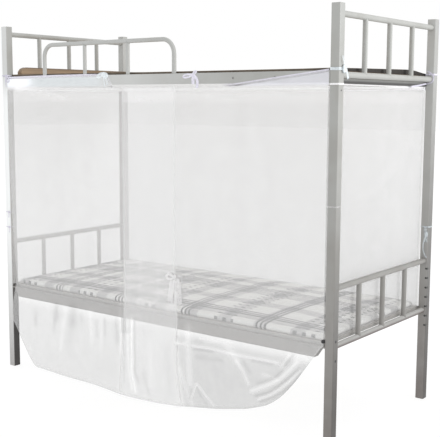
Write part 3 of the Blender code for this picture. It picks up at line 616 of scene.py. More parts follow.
wrinkles = [                            # painted light (plus) and shade (minus) of each wrinkle, which also sets its depth; half its width; its path in x, z
    (-0.30, 0.0174, [(-0.758, 0.319), (-0.753, 0.268)]),
    (-0.42, 0.0219, [(-0.608, 0.377), (-0.600, 0.322)]),
    (-0.25, 0.0129, [(-0.609, 0.310), (-0.611, 0.259)]),
    (-0.38, 0.0313, [(-0.483, 0.374), (-0.483, 0.319)]),
    (-0.16, 0.0379, [(-0.486, 0.299), (-0.492, 0.218)]),
    (-0.22, 0.0136, [(-0.424, 0.358), (-0.418, 0.329)]),
    (0.22, 0.0112, [(-0.537, 0.377), (-0.543, 0.320), (-0.551, 0.254), (-0.554, 0.172)]),
    (0.20, 0.0121, [(-0.367, 0.391), (-0.359, 0.348), (-0.339, 0.248)]),
    (-0.20, 0.0107, [(-0.318, 0.344), (-0.308, 0.278)]),
    (-0.34, 0.0100, [(-0.264, 0.362), (-0.257, 0.296)]),
    (0.14, 0.0100, [(-0.285, 0.359), (-0.274, 0.220)]),
    (-0.30, 0.0155, [(-0.188, 0.364), (-0.185, 0.341)]),
    (-0.30, 0.0166, [(-0.178, 0.313), (-0.172, 0.276)]),
    (0.26, 0.0084, [(-0.163, 0.406), (-0.156, 0.331), (-0.143, 0.228)]),
    (-0.16, 0.0083, [(-0.140, 0.391), (-0.128, 0.264), (-0.112, 0.090)]),
    (0.20, 0.0088, [(-0.115, 0.394), (-0.103, 0.268), (-0.079, 0.144), (-0.059, 0.062)]),
    (0.30, 0.0094, [(-0.086, 0.399), (-0.074, 0.273), (-0.057, 0.148), (-0.033, 0.057)]),
    (-0.24, 0.0068, [(-0.067, 0.392), (-0.056, 0.276), (-0.036, 0.152), (-0.014, 0.109)]),
    (-0.12, 0.0146, [(0.007, 0.146), (0.055, 0.056)]),
    (0.10, 0.0184, [(0.037, 0.292), (0.060, 0.109)]),
    (-0.10, 0.0177, [(0.142, 0.287), (0.177, 0.100)]),
    (0.34, 0.0053, [
        (0.292, 0.330), (0.366, 0.334), (0.439, 0.336), (0.505, 0.336), (0.572, 0.335),
        (0.669, 0.337), (0.754, 0.339),
    ]),
    (-0.30, 0.0076, [(0.299, 0.317), (0.356, 0.322), (0.401, 0.324)]),
    (-0.16, 0.0106, [(0.314, 0.285), (0.460, 0.294)]),
    (-0.22, 0.0059, [(0.619, 0.325), (0.720, 0.324)]),
    (0.28, 0.0049, [(0.193, 0.325), (0.251, 0.334)]),
    (-0.26, 0.0089, [(0.196, 0.355), (0.205, 0.347)]),
    (-0.26, 0.0093, [(0.202, 0.315), (0.213, 0.299)]),
    (0.16, 0.0049, [(0.329, 0.370), (0.452, 0.375)]),
    (-0.14, 0.0073, [(0.307, 0.357), (0.347, 0.357)]),
    (0.26, 0.0183, [(0.254, 0.405), (0.263, 0.330), (0.275, 0.242), (0.289, 0.164)]),
    (0.20, 0.0143, [(0.228, 0.211), (0.257, 0.149), (0.308, 0.068)]),
    (0.24, 0.0065, [(0.327, 0.167), (0.304, 0.108)]),
    (0.24, 0.0061, [(0.335, 0.164), (0.380, 0.128), (0.427, 0.093)]),
    (-0.20, 0.0067, [(0.299, 0.134), (0.290, 0.091)]),
    (-0.20, 0.0062, [(0.331, 0.145), (0.358, 0.115), (0.388, 0.089)]),
    (0.20, 0.0207, [(0.486, 0.367), (0.516, 0.338), (0.539, 0.310)]),
    (0.34, 0.0073, [(0.539, 0.310), (0.580, 0.270), (0.611, 0.228)]),
    (-0.18, 0.0085, [(0.573, 0.310), (0.609, 0.274)]),
    (0.40, 0.0096, [
        (0.632, 0.198), (0.680, 0.224), (0.718, 0.245), (0.760, 0.268), (0.800, 0.310),
        (0.840, 0.355),
    ]),
    (-0.26, 0.0070, [(0.659, 0.235), (0.707, 0.256), (0.749, 0.283), (0.771, 0.307)]),
    (-0.34, 0.0053, [(0.652, 0.180), (0.711, 0.206), (0.761, 0.243), (0.811, 0.290), (0.853, 0.330)]),
    (0.32, 0.0053, [(0.664, 0.167), (0.726, 0.200), (0.771, 0.234), (0.816, 0.278), (0.856, 0.325)]),
    (-0.30, 0.0053, [(0.674, 0.158), (0.733, 0.189), (0.786, 0.226), (0.826, 0.267), (0.857, 0.308)]),
    (0.18, 0.0056, [(0.675, 0.276), (0.722, 0.274), (0.755, 0.272)]),
    (0.26, 0.0059, [(0.767, 0.325), (0.787, 0.358), (0.802, 0.381)]),
    (-0.26, 0.0054, [(0.782, 0.330), (0.801, 0.356), (0.819, 0.382)]),
    (0.22, 0.0186, [(0.839, 0.373), (0.882, 0.377)]),
    (0.10, 0.0084, [(-0.403, 0.631), (-0.413, 0.489)]),
    (0.12, 0.0082, [(-0.319, 0.660), (-0.329, 0.510)]),
    (0.10, 0.0080, [(-0.224, 0.680), (-0.227, 0.504)]),
    (0.14, 0.0078, [(-0.166, 0.715), (-0.166, 0.416)]),
    (0.08, 0.0089, [(-0.037, 0.672), (-0.039, 0.491)]),
    (0.08, 0.0086, [(0.075, 0.675), (0.074, 0.507)]),
    (0.16, 0.0086, [(-0.880, 1.478), (-0.705, 1.457), (-0.525, 1.427)]),
    (0.10, 0.0085, [(-0.880, 1.463), (-0.691, 1.437), (-0.420, 1.409)]),
]
boxNet = {                              # the walls and the roof, and the tape round the roof
    "wallX": 0.9545,
    "wallY": 0.408,
    "wallTop": 1.4687,
    "wallFoot": 0.4515,
    "wallClear": 0.00135,               # how far the end walls keep from the front's plane
    "tapeClear": 0.0014,
    "roofClear": 0.0009,
    "drawn": 0.0042,                    # how far the ties draw a back edge to its post
    "drawnFrom": 0.05,
    "roofZ": 1.4765,
    "roofSag": 0.018,
    "tapeThickness": 0.0024,
    "tapeY": -0.4524,
    "rightTapeTop": 1.4862,             # just under the cross bar
    "seat": 0.0003,
    "step": 0.016,
}
sheer = {                               # share of the light that one layer lets through
    "plain": 0.55,
    "gathered": 0.03,
    "overRail": 0.30,
    "wedge": 0.42,
    "railFoot": 0.06,                   # doubled cloth at the roof seam
    "skirtLeft": 0.50,
    "skirtRight": 0.42,
    "roof": 0.20,                       # a closer net, which keeps dust off the bed
    # painted light: the roof's yarn drawn lighter
    "roofTone": 1.24,
    "rightTone": 0.755,                 # the right end takes the key light, so its yarn is toned down
    "wrinkle": 0.9,                     # how strongly the wrinkles' painted light and shade read
}
frontZones = {                          # along which axis, where each begins and where it is full
    "band": (("z", 1.478, 1.490), ("x", -0.22, -0.32)),         # left of the bow, over the rail
    "corner": (("z", 1.455, 1.500), ("x", -0.70, -0.84)),
    "wedge": (("z", 1.472, 1.490), ("x", 0.15, 0.35)),          # where it rises over the rail at the right
    "skirt": (("z", 0.395, 0.345),),
    "right": (("z", 0.395, 0.345), ("column", 0.16, 0.21)),
    "inner": (("column", 0.20, 0.25),),                         # the inner panel alone
    "lap": (("column", -0.165, -0.125), ("column", 0.198, 0.158)),
    "footLeft": (("x", -0.194, -0.212),),
    "footRight": (("x", 0.45, 0.55),),
}
footLine = {"z": 1.4815, "half": 0.0065}        # the doubled cloth that shows as a line


def readTable(table, column, at):       # a table's column, eased over its corners
    xs = [row[0] for row in table]
    values = [row[column] for row in table]
    near = np.linspace(-0.02, 0.02, 5)
    return sum(np.interp(at + step, xs, values) for step in near) / len(near)


def topOfFront(x):
    return np.interp(x, *zip(*topEdge))


def awaySquared(x, z, start, end):      # squared distance to a straight length
    (startX, startZ), (endX, endZ) = start, end
    runX, runZ = endX - startX, endZ - startZ
    share = np.clip(((x - startX) * runX + (z - startZ) * runZ) / (runX ** 2 + runZ ** 2), 0.0, 1.0)
    return (x - startX - share * runX) ** 2 + (z - startZ - share * runZ) ** 2


def ridges(x, z):
    return sum(row[4] * np.exp(-awaySquared(x, z, row[:2], row[2:4]) / row[5] ** 2) for row in folds)


def wrinkled(x, z):                     # the wrinkles' painted light and shade at each point, and their depth
    total = np.zeros_like(x)
    for light, width, path in wrinkles:
        away = np.min([awaySquared(x, z, *ends) for ends in zip(path, path[1:])], axis=0)
        total += light * np.exp(-away / max(width, frontPanel["wrinkleWidth"]) ** 2)
    return total


def sway(along, length, share):         # slack of a hanging wall
    waves = [0.5 + 0.5 * np.sin(math.tau * along / wave + wave) for wave in (0.31, 0.83)]
    ends = np.minimum(along, length - along) / 0.12
    return 0.004 * waves[0] * waves[1] * easeIn(ends) * np.sin(math.pi * np.clip(share, 0.0, 1.0))


def shifted(column, z):                 # the edges draw the cloth along with them
    fromLeft = rising(column, 0.36 - frontPanel["halfWidth"], -frontPanel["halfWidth"])
    fromDoor = rising(np.abs(column - frontPanel["overlap"][1]), 0.32, 0.0)
    return column + fromLeft * readTable(leftEdge, 1, z) + fromDoor * readTable(doorEdge, 1, z)


def frontDrape(x, z, hemZ):             # how far the front stands forward of its flat plane
    f = frontPanel
    fall = (f["skirtTop"] - z) / (f["skirtTop"] - hemZ)
    slack = sway(x + f["halfWidth"], 2 * f["halfWidth"], (1.42 - z) / 0.72)
    wide = ridges(x, z) * easeIn(4 * fall)
    return readTable(hemLine, 2, x) * easeIn(fall) + wide + f["wrinkleDepth"] * wrinkled(x, z) + slack


def blocks(through):                    # what each face of a sheet blocks, so that both let that share through
    return 1 - np.sqrt(through)


def frontCover(x, z, column):           # what the front blocks, and the light and shade painted into its yarn's tone
    at = {"x": x, "z": z, "column": column}
    lies = {
        name: np.prod([rising(at[axis], start, full) for axis, start, full in spans], axis=0)
        for name, spans in frontZones.items()
    }
    lies["foot"] = np.exp(-((z - footLine["z"]) / footLine["half"]) ** 2)
    lies["foot"] *= lies["footLeft"] + lies["footRight"]
    lies["left"] = lies["skirt"] * (1 - lies["lap"])
    plain = blocks(sheer["plain"])
    denser = [(blocks(sheer[share]) - plain) * lies[name] for name, share in (
        ("band", "overRail"), ("corner", "gathered"), ("wedge", "wedge"), ("foot", "railFoot"),
        ("left", "skirtLeft"), ("right", "skirtRight"),
    )]
    # painted shade on the skirt; painted light on the overlap, the inner panel, and the gathered corner, band
    # and wedge, which are also tinted
    shade = 1.0 + sheer["wrinkle"] * wrinkled(x, z) - 0.18 * lies["left"] - 0.14 * lies["right"]
    shade += (0.075 * lies["lap"] + 0.045 * lies["inner"]) * (1 - lies["skirt"])
    tone = np.stack([
        shade + corner * lies["corner"] + band * lies["band"] + wedge * lies["wedge"]
        for corner, band, wedge in ((0.40, 0.07, 0.12), (0.38, 0.13, 0.12), (0.42, 0.17, 0.22))
    ], axis=-1)
    return plain + np.max(denser, axis=0), tone


def netSheet(name, columns, rows, place):       # a panel, its width and its area
    across, down = np.meshgrid(columns, rows)
    x, y, z, cover, rim, tone = place(across, down)
    lay = np.stack((across, z, 0 * z), axis=-1)
    bm = clothGrid(np.stack((x, y, z), axis=-1), {"lay": lay, "tone": tone, "cover": cover, "rim": rim})
    area = sum(face.calc_area() for face in bm.faces)
    sheet = finishPiece("net_" + name, bm, "net", "polyester_net", name)
    thicken(sheet, frontPanel["thickness"])
    letLightBy(sheet)
    return sheet, float(columns[-1] - columns[0]), area


def makeDoors():
    f = frontPanel
    inner, outer = f["overlap"]
    rows = np.concatenate((             # from 0 at the top to 1 at the skirt's top and 2 at the hem
        evenly(0.0, 0.08, 0.0040),      # closer where the rail shows through
        evenly(0.08, 1.0, 2 * f["step"] / 1.02)[1:],
        evenly(1.0, 2.0, f["step"] / 0.46)[1:],
    ))
    doors = []
    for name, start, end, plane, edge in (
        ("door_panel_left", -f["halfWidth"], outer, f["outerPlane"], outer),
        ("door_panel_right", inner, f["halfWidth"], f["innerPlane"], inner),
    ):
        def place(column, row):
            hemZ = readTable(hemLine, 1, shifted(column, readTable(hemLine, 1, column)))
            top = topOfFront(column) - f["tapeHeight"] - boxNet["seat"]
            wall = top + (f["skirtTop"] - top) * np.minimum(row, 1.0)
            z = wall + (hemZ - f["skirtTop"]) * np.maximum(row - 1.0, 0.0)
            x = shifted(column, z)
            cover, tone = frontCover(x, z, column)
            rim = np.minimum(z - hemZ, np.abs(column - edge))
            return x, plane - frontDrape(x, z, hemZ), z, cover, rim, tone

        doors.append(netSheet(name, evenly(start, end, f["step"]), rows, place))
    return doors


def makeWalls():
    b = boxNet
    back = b["wallY"] + b["tapeThickness"] / 2
    height = b["wallTop"] - b["wallFoot"]
    rows = evenly(b["wallFoot"], b["wallTop"], b["step"])
    reach = b["wallX"] - 0.0006 - b["seat"]

    def looks(along, tone, z):
        streaks = 0.012 * np.sin(along * 31.0) * np.sin(along * 7.3 + 1.0)
        cover = blocks(sheer["plain"]) + streaks
        return cover, z - b["wallFoot"] + 0.004, np.full((*z.shape, 3), tone)

    def backPlace(x, z):
        slack = sway(x + reach, 2 * reach, (b["wallTop"] - z) / height)
        return x, b["wallY"] - slack, z, *looks(x + reach, 1.0, z)

    walls = [netSheet("back_wall", evenly(-reach, reach, b["step"]), rows, backPlace)]
    for side, name, plane, tone in (
        (-1, "left", frontPanel["outerPlane"], 1.0), (1, "right", frontPanel["innerPlane"], sheer["rightTone"]),
    ):
        front = plane + b["wallClear"]

        def endPlace(y, z):
            slack = sway(y - front, back - front, (b["wallTop"] - z) / height)
            drawn = b["drawn"] * rising(y, back - b["drawnFrom"], back)
            return side * (b["wallX"] - slack + drawn), y, z, *looks(y - front, tone, z)

        walls.append(netSheet("end_wall_" + name, evenly(front, back, b["step"]), rows, endPlace))
    return walls


def makeRoof():                         # the sheet, its width and area, and its depth
    b = boxNet
    reach = b["wallX"] - b["tapeThickness"] / 2 - b["seat"]
    front = frontPanel["innerPlane"] + b["roofClear"]
    back = b["wallY"] - b["tapeThickness"] / 2 - b["seat"]
    middle, half = (front + back) / 2, (back - front) / 2

    def place(x, y):
        sag = (1 - (x / reach) ** 2) * (1 - ((y - middle) / half) ** 2)
        ripple = 0.0015 * np.sin(x * 23.0 + 2.0 * np.sin(y * 9.0)) * sag
        rim = np.minimum(reach - np.abs(x), half - np.abs(y - middle)) + 0.006
        cover = np.full_like(x, blocks(sheer["roof"]))
        tone = np.full((*x.shape, 3), sheer["roofTone"])
        return x, y, b["roofZ"] - b["roofSag"] * sag + ripple, cover, rim, tone

    columns, rows = evenly(-reach, reach, b["step"]), evenly(front, back, b["step"])
    return *netSheet("roof", columns, rows, place), back - front


doors = makeDoors()
walls = makeWalls()
roof = makeRoof()
print("net panels hung:", len(doors) + len(walls) + 1)


tapeCover = {                           # what the tapes block
    "sheer": 0.16,
    "level": 0.62,                      # where the front one runs along the rail's foot
    "tight": (                          # x, and what the front one blocks there
        (-0.96, 0.92), (-0.80, 0.90), (-0.40, 0.80), (-0.24, 0.30), (0.15, 0.08), (0.45, 0.42), (0.96, 0.60),
    ),
    "line": (0.03, 0.88),               # the right one: only its folded top edge shows
}


def tapeStrip(name, columns, place, coverOf, finish="tape"):
    across, up = np.meshgrid(columns, np.linspace(0.0, 1.0, 7))
    cover, white = coverOf(across, up)
    lay = np.stack((across, (up - 0.5) * frontPanel["tapeHeight"], white), axis=-1)
    bm = clothGrid(np.stack(place(across, up), axis=-1), {"lay": lay, "cover": cover})
    tape = finishPiece("sewn_binding_tape_" + name, bm, finish, "cotton_tape", "binding_tape_" + name)
    thicken(tape, boxNet["tapeThickness"] - 0.0004)
    letLightBy(tape)
    return tape


def makeTapes():
    b, c = boxNet, tapeCover
    wide, tall = frontPanel["halfWidth"], frontPanel["tapeHeight"]
    foot = b["wallTop"] + b["seat"]
    reach = b["wallX"] - b["tapeThickness"] / 2 - b["seat"]

    def frontTape(x, up):               # its folded upper edge is denser; slack makes it sheerer
        folded = rising(up, 0.45, 0.65)
        level = rising(x, -0.24, -0.20) * rising(x, 0.52, 0.42)
        tight = np.interp(x, *zip(*c["tight"]))
        return tight * (0.35 + 0.65 * folded) * (1 - level) + c["level"] * level, level

    def sheerTape(along, up):
        return np.full_like(along, c["sheer"]), 0.0 * along

    def thinLine(along, up):
        low, high = c["line"]
        return low + (high - low) * rising(up, 0.52, 0.80), 0.0 * along

    tapes = [
        tapeStrip("front", evenly(-wide, wide, 0.01), lambda x, up: (
            x, b["tapeY"] + 0.0003 * np.sin(x * 61.0), topOfFront(x) - tall * (1 - up),
        ), frontTape),
        tapeStrip("back", evenly(-reach, reach, 0.012), lambda x, up: (
            x, b["wallY"] + 0.0003 * np.sin(x * 53.0), foot + tall * up,
        ), sheerTape),
    ]
    for side, name, plane, top, coverOf, finish in (
        (-1, "left", frontPanel["outerPlane"], foot + tall, sheerTape, "tape"),
        (1, "right", frontPanel["innerPlane"], b["rightTapeTop"], thinLine, "whiteTape"),
    ):
        tapes.append(tapeStrip(name, evenly(plane + b["tapeClear"], b["wallY"], 0.012), lambda y, up: (
            side * b["wallX"] + 0.0003 * np.sin(y * 57.0), y, foot + (top - foot) * up,
        ), coverOf, finish))
    return tapes


tapes = makeTapes()
print("tapes sewn on:", len(tapes))


bed = {                                 # where the ties, screws, plugs and welds sit on it
    "postX": 0.98,
    "postY": 0.43,
    "postHalf": 0.0203,                 # half the side of a post, and the cloth's clearance
    "railFace": -0.448,
    "guardFoot": 1.5356,
}
front = (0, -1, 0)
endOn = (1, 0, 0)
upward = (0, 0, 1)


def smoothPath(points, perSpan):        # a curve through the points
    knots = [Vector(point) for point in points]
    knots = [2 * knots[0] - knots[1], *knots, 2 * knots[-1] - knots[-2]]
    path = []
    for a, b, c, d in zip(knots, knots[1:], knots[2:], knots[3:]):
        for step in range(perSpan):
            t = step / perSpan
            path.append(0.5 * (2 * b + (c - a) * t + (2 * a - 5 * b + 4 * c - d) * t ** 2
                               + (3 * b - a - 3 * c + d) * t ** 3))
    return path + [knots[-2]]


def layRibbon(bm, points, width, facing, perSpan=6, cup=0.0, twist=0.0, cover=0.0):
    path = smoothPath(points, perSpan)
    last = len(path) - 1
    facing = Vector(facing).normalized()
    lengths = [0.0]
    for a, b in zip(path, path[1:]):
        lengths.append(lengths[-1] + (b - a).length)
    lay = bm.verts.layers.float_vector["lay"]
    coverLayer = bm.verts.layers.float["cover"]
    for vert, step, _ in gridPoints(bm, last + 1, 5):
        vert[coverLayer] = cover        # its own, or left to the tie's
        across = vert.co.y
        run = (path[min(step + 1, last)] - path[max(step - 1, 0)]).normalized()
        side = run.cross(facing).normalized()
        side = Matrix.Rotation(math.radians(twist) * step / last, 3, run) @ side
        out = side.cross(run)
        vert.co = path[step] + side * across * width + out * cup * (4 * across ** 2 - 0.5)
        vert[lay] = (lengths[step], across * width, 0.0)


def layKnot(bm, centre, radii, seed):   # a pulled knot: a lump with the turns of the ribbon round it
    lay = bm.verts.layers.float_vector["lay"]
    for vert in bmesh.ops.create_icosphere(bm, subdivisions=3, radius=1.0)["verts"]:
        way = vert.co.copy()
        turns = 0.10 * math.sin(7 * way.x + 5 * way.z + seed)
        turns += 0.12 * noise.noise(way * 2.2 + Vector((seed, 0, 0)))
        vert.co = [way[i] * radii[i] * (0.92 + turns) + centre[i] for i in range(3)]
        vert[lay] = (way.x * 0.01, way.z * 0.01, 0.0)


def layLoop(bm, root, angle, size, *ribbon, steps=14):      # its size is length, width and depth
    length, width, depth = size
    turn = math.radians(angle)
    out = Vector((math.cos(turn), 0, math.sin(turn)))
    side = Vector((-math.sin(turn), 0, math.cos(turn)))
    points = []
    for step in range(steps + 1):
        t = math.tau * step / steps
        points.append(
            Vector(root) + out * length * (1 - math.cos(t)) / 2
            + side * width * math.sin(t) * math.sin(t / 2) / 1.54
            + Vector((0, -depth * math.sin(t / 2), 0))
        )
    layRibbon(bm, points, *ribbon)


def layRing(bm, side, depth, z, height, away=0.0009):       # round a post, back to the corner it began at
    half, corner = bed["postHalf"] + away, 0.0045
    points = []
    for quarter in range(5):
        middle = math.radians(45 + 90 * quarter)
        for turn in np.linspace(middle - math.pi / 4, middle + math.pi / 4, 4)[:1 if quarter == 4 else 4]:
            reach = (half - corner) * math.sqrt(2)
            x = reach * math.cos(middle) + corner * math.cos(turn)
            y = reach * math.sin(middle) + corner * math.sin(turn)
            points.append(Vector((side * bed["postX"] + x, depth * bed["postY"] + y, z)))
    lay = bm.verts.layers.float_vector["lay"]
    for vert, step, _ in gridPoints(bm, len(points), 3):
        vert[lay] = (step * 0.006, vert.co.y * height, 0.0)
        vert.co = points[step] + Vector((0, 0, vert.co.y * height))


def tail(side, depth, *heights):        # from the net's corner up to the knot
    return layRibbon, [(side * 0.9577, depth * 0.414, z) for z in heights], 0.005, endOn


# Each tie: its name, the sheet that carries it, its look and its lengths of ribbon. A length is
# the function that lays it, with that function's settings in their order.
tieRows = (
    ("tie_front_left_top", "left", {},
     (layRing, -1, -1, 1.5405, 0.008),
     tail(-1, -1, 1.470, 1.505, 1.542),
     (layKnot, (-0.9590, -0.4545, 1.5405), (0.009, 0.004, 0.007), 1.0),
     (layLoop, (-0.958, -0.4565, 1.540), -62, (0.036, 0.020, 0.003), 0.005, (0.5, -1, 0.3), 2),
     (layRibbon, [(-0.962, -0.4575, 1.540), (-0.9635, -0.459, 1.510), (-0.960, -0.458, 1.483)],
      0.006, front, 6, 0.0006, 20)),
    ("tie_front_right_top", "right", {"cover": 0.74, "finish": "coolTape"},
     (layRing, 1, -1, 1.5405, 0.012),
     tail(1, -1, 1.4845, 1.510, 1.542),
     (layKnot, (1.0050, -0.4180, 1.5400), (0.005, 0.014, 0.017), 2.0),
     (layRibbon, [(1.007, -0.412, 1.548), (1.0075, -0.401, 1.526), (1.0065, -0.391, 1.502)],
      0.011, endOn, 6, 0.001, 15, 0.62),
     (layRibbon, [(1.007, -0.418, 1.545), (1.0075, -0.426, 1.567), (1.0065, -0.435, 1.590)],
      0.009, endOn, 6, 0.0006, 0, 0.28)),
    ("tie_back_left_top", "back", {},   # out of sight
     (layRing, -1, 1, 1.5405, 0.008),
     tail(-1, 1, 1.470, 1.505, 1.542)),
    ("tie_back_right_top", "back", {},  # it runs under the cross bar and swings up round the end rail
     (layRing, 1, 1, 1.5405, 0.008),
     tail(1, 1, 1.470, 1.505, 1.542),
     (layRibbon, [
         (0.9668, 0.4085, 1.4995), (0.9780, 0.4085, 1.5010), (0.9900, 0.4085, 1.5050), (0.9975, 0.4085, 1.5140),
         (0.9985, 0.4085, 1.5280), (0.9920, 0.4085, 1.5410), (0.9800, 0.4085, 1.5500), (0.9660, 0.4085, 1.5555),
     ], 0.0065, front, 6, 0.0, 0.0, 0.85),
     (layRibbon, [(0.9672, 0.246, 1.4830), (0.9672, 0.330, 1.4905), (0.9672, 0.409, 1.4995)], 0.0075, endOn),
     (layRibbon, [(0.9562, 0.248, 1.4830), (0.9620, 0.248, 1.4826), (0.9678, 0.248, 1.4832)], 0.006, upward)),
    ("rail_bow_left", "left", {"cover": 0.60, "finish": "coolTape", "shades": False},
     (layRibbon, [(-0.259, -0.460, 1.5380), (-0.259, -0.448, 1.5372), (-0.259, -0.4265, 1.5366)],
      0.008, upward),
     (layKnot, (-0.2590, -0.4585, 1.5390), (0.010, 0.0045, 0.007), 3.0),
     (layLoop, (-0.254, -0.4590, 1.542), 202, (0.040, 0.014, 0.002), 0.014, (0.2, -1, 0.7), 2),
     (layLoop, (-0.262, -0.4590, 1.543), -30, (0.036, 0.014, 0.002), 0.014, (-0.2, -1, 0.7), 2),
     (layRibbon, [(-0.259, -0.4605, 1.537), (-0.251, -0.461, 1.513), (-0.249, -0.459, 1.479)],
      0.006, front, 6, 0.0008, 15),
     (layRibbon, [(-0.256, -0.4580, 1.537), (-0.238, -0.4590, 1.515), (-0.232, -0.4575, 1.488)],
      0.010, front, 6, 0.0008, -10, 0.34)),
    ("rail_bow_middle", "right", {"cover": 0.92, "shades": False},
     (layRibbon, [
         (0.282, -0.4502, 1.4795), (0.282, -0.4502, 1.5080), (0.282, -0.4502, 1.5330),
         (0.282, -0.4490, 1.5368), (0.282, -0.4455, 1.5376), (0.282, -0.4265, 1.5370),
     ], 0.008, (0, -1, 0.3)),
     (layKnot, (0.2820, -0.4548, 1.5270), (0.008, 0.0045, 0.008), 4.0),
     (layLoop, (0.284, -0.4585, 1.526), 186, (0.052, 0.013, 0.002), 0.010, (0.1, -1, 0.8), 2),
     (layLoop, (0.282, -0.4585, 1.528), 35, (0.024, 0.010, 0.002), 0.008, (0.1, -1, 0.6), 2),
     (layRibbon, [(0.281, -0.4575, 1.525), (0.280, -0.4585, 1.506), (0.280, -0.4575, 1.486)],
      0.008, front, 6, 0.0008, 12),
     (layRibbon, [
         (0.284, -0.4565, 1.526), (0.300, -0.4580, 1.515), (0.308, -0.4580, 1.498), (0.304, -0.4565, 1.470),
     ], 0.0125, front, 6, 0.001, -18)),
    ("string_front_right_seam", "right", {"thickness": 0.0010, "cover": 0.97, "finish": "whiteTape"},
     (layRing, 1, -1, 1.4825, 0.0075, 0.0007)),
    ("string_front_right_low", "right", {"thickness": 0.0010, "cover": 0.26, "finish": "whiteTape"},
     (layRing, 1, -1, 1.005, 0.0042, 0.0007)),
    *((f"tie_front_left_{place}_side", "left", {},
       (layRing, -1, -1, z, 0.003, 0.0007),
       (layKnot, (-0.9690, -0.4545, z), (0.007, 0.004, 0.005), z * 9),
       (layRibbon, [(-0.969, -0.457, z), (-0.966, -0.458, z - 0.014), (-0.967, -0.457, z - 0.028)],
        0.004, front))
      for place, z in (("upper", 0.833), ("lower", 0.754))),
    ("tie_back_right_side", "back", {"cover": 0.52, "finish": "coolTape"},
     (layRing, 1, 1, 0.8345, 0.006),
     (layRibbon, [(0.985, 0.4085, 0.8360), (0.986, 0.4080, 0.8100), (0.989, 0.4080, 0.7620)],
      0.017, front, 6, 0.001, 0, 0.30),
     (layKnot, (0.9910, 0.4050, 0.8000), (0.008, 0.0045, 0.014), 6.0),
     (layRibbon, [
         (0.9900, 0.406, 0.7950), (0.9810, 0.406, 0.7700), (0.9765, 0.406, 0.7450),
         (0.9780, 0.406, 0.7220), (0.9860, 0.406, 0.7020), (0.9960, 0.406, 0.6890),
     ], 0.007, front, 6, 0.0006, 30)),
    ("door_tie", "left", {"cover": 0.5, "finish": "whiteTape"},        # it holds the two door panels together
     (layKnot, (0.1780, -0.4601, 0.6280), (0.010, 0.0045, 0.013), 7.0),
     (layLoop, (0.180, -0.4620, 0.627), 178, (0.044, 0.020, 0.003), 0.010, (0.2, -1, 0.4), 2),
     (layLoop, (0.176, -0.4608, 0.630), -14, (0.050, 0.032, 0.002), 0.008, (-0.2, -1, 0.4), 2, 0, 0, 0.16),
     (layRibbon, [(0.170, -0.4600, 0.628), (0.162, -0.4610, 0.575), (0.150, -0.4595, 0.512)],
      0.030, front, 8, 0.003, 0, 0.32),
     (layRibbon, [(0.183, -0.4590, 0.625), (0.197, -0.4600, 0.575), (0.201, -0.4585, 0.505)],
      0.044, front, 8, 0.003, 0, 0.26)),
)


def makeTie(name, lengths, thickness=0.0009, cover=0.8, finish="tape", shades=True):
    bm = bmesh.new()
    bm.verts.layers.float_vector.new("lay")
    bm.verts.layers.float.new("cover")
    for lay, *settings in lengths:
        lay(bm, *settings)
    bmesh.ops.remove_doubles(bm, verts=bm.verts, dist=0.00002)
    coverLayer = bm.verts.layers.float["cover"]
    for vert in bm.verts:
        vert[coverLayer] = vert[coverLayer] or cover
    tie = finishPiece("ribbon_" + name, bm, finish, "cotton_tape", name)
    thicken(tie, thickness)
    if not shades:
        letLightBy(tie)
    return tie


ties = {"left": [], "right": [], "back": []}
for name, carrier, look, *lengths in tieRows:
    ties[carrier].append(makeTie(name, lengths, **look))
print("ties made:", len(tieRows))


mattress = {
    "halfLength": 0.935,
    "front": -0.415,
    "back": 0.400,
    "edge": 0.0253,                     # thickness at the sides
    "crown": 0.020,
    "unevenness": 0.0016,
    "channel": 0.0022,                  # depth of the sewn channels
    "channelWidth": 0.009,
    "channelEvery": 0.150,
    "step": 0.014,
}


def makeMattress():
    m = mattress
    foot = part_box("mattress")[0].z
    middleY, halfY = (m["front"] + m["back"]) / 2, (m["back"] - m["front"]) / 2
    radius = m["edge"] / 2

    def spaced(half):                   # closer together where the side turns over
        inner = np.linspace(-half + radius, half - radius, round(2 * half / m["step"]))
        turn = radius * (1 - np.cos(np.linspace(0, math.pi / 2, 6)[:-1]))
        return np.concatenate((-half + turn, inner, (half - turn)[::-1]))

    def sewnAt(along):
        every = m["channelEvery"]
        return math.exp(-(((along + every / 2) % every - every / 2) / m["channelWidth"]) ** 2)

    def heightAt(x, y, face):
        turn = 1.0
        for half, along in ((m["halfLength"], x), (halfY, y)):
            turn *= math.sqrt(max(0.0, 1 - (1 - min(1.0, (half - abs(along)) / radius)) ** 2))
        z = foot + radius + face * radius * turn
        if face > 0:
            body = (1 - (x / m["halfLength"]) ** 4) * (1 - (y / halfY) ** 4)
            soft = m["unevenness"] * noise.noise(Vector((x * 6, y * 6, 0.3)))
            z += (m["crown"] + soft - m["channel"] * min(sewnAt(x) + sewnAt(y), 1.0)) * body
        return z

    xs, ys = spaced(m["halfLength"]), spaced(halfY)
    bm = bmesh.new()
    for face in (1, -1):
        points = list(gridPoints(bm, len(xs), len(ys)))
        for vert, i, j in points:
            vert.co = (xs[i], middleY + ys[j], heightAt(xs[i], ys[j], face))
    bmesh.ops.reverse_faces(bm, faces=list({f for vert, _, _ in points for f in vert.link_faces}))
    bmesh.ops.remove_doubles(bm, verts=bm.verts, dist=0.00005)
    bmesh.ops.recalc_face_normals(bm, faces=bm.faces)
    pad = finishPiece("ticked_mattress", bm, "ticking", "mattress_cotton", "mattress")


makeMattress()
print("mattress made")


dress = {                               # the finish of each material slot of the solids, and of some nodes
    "painted_steel": "steel", "plywood": "plywood", "batten_wood": "batten",
    "post_front_left": "frontLeftPost", "post_front_right": "frontRightPost",
    "post_back_left": "backLeftPost", "post_back_right": "backRightPost",
    "upper_side_rail_front": "upperRail", "lower_deck": "paleBoard",
    "lower_end_left_low_rail": "lowRail", "lower_end_right_low_rail": "lowRail",
    "upper_cross_bar_left": "crossBar", "upper_cross_bar_right": "crossBar",
}


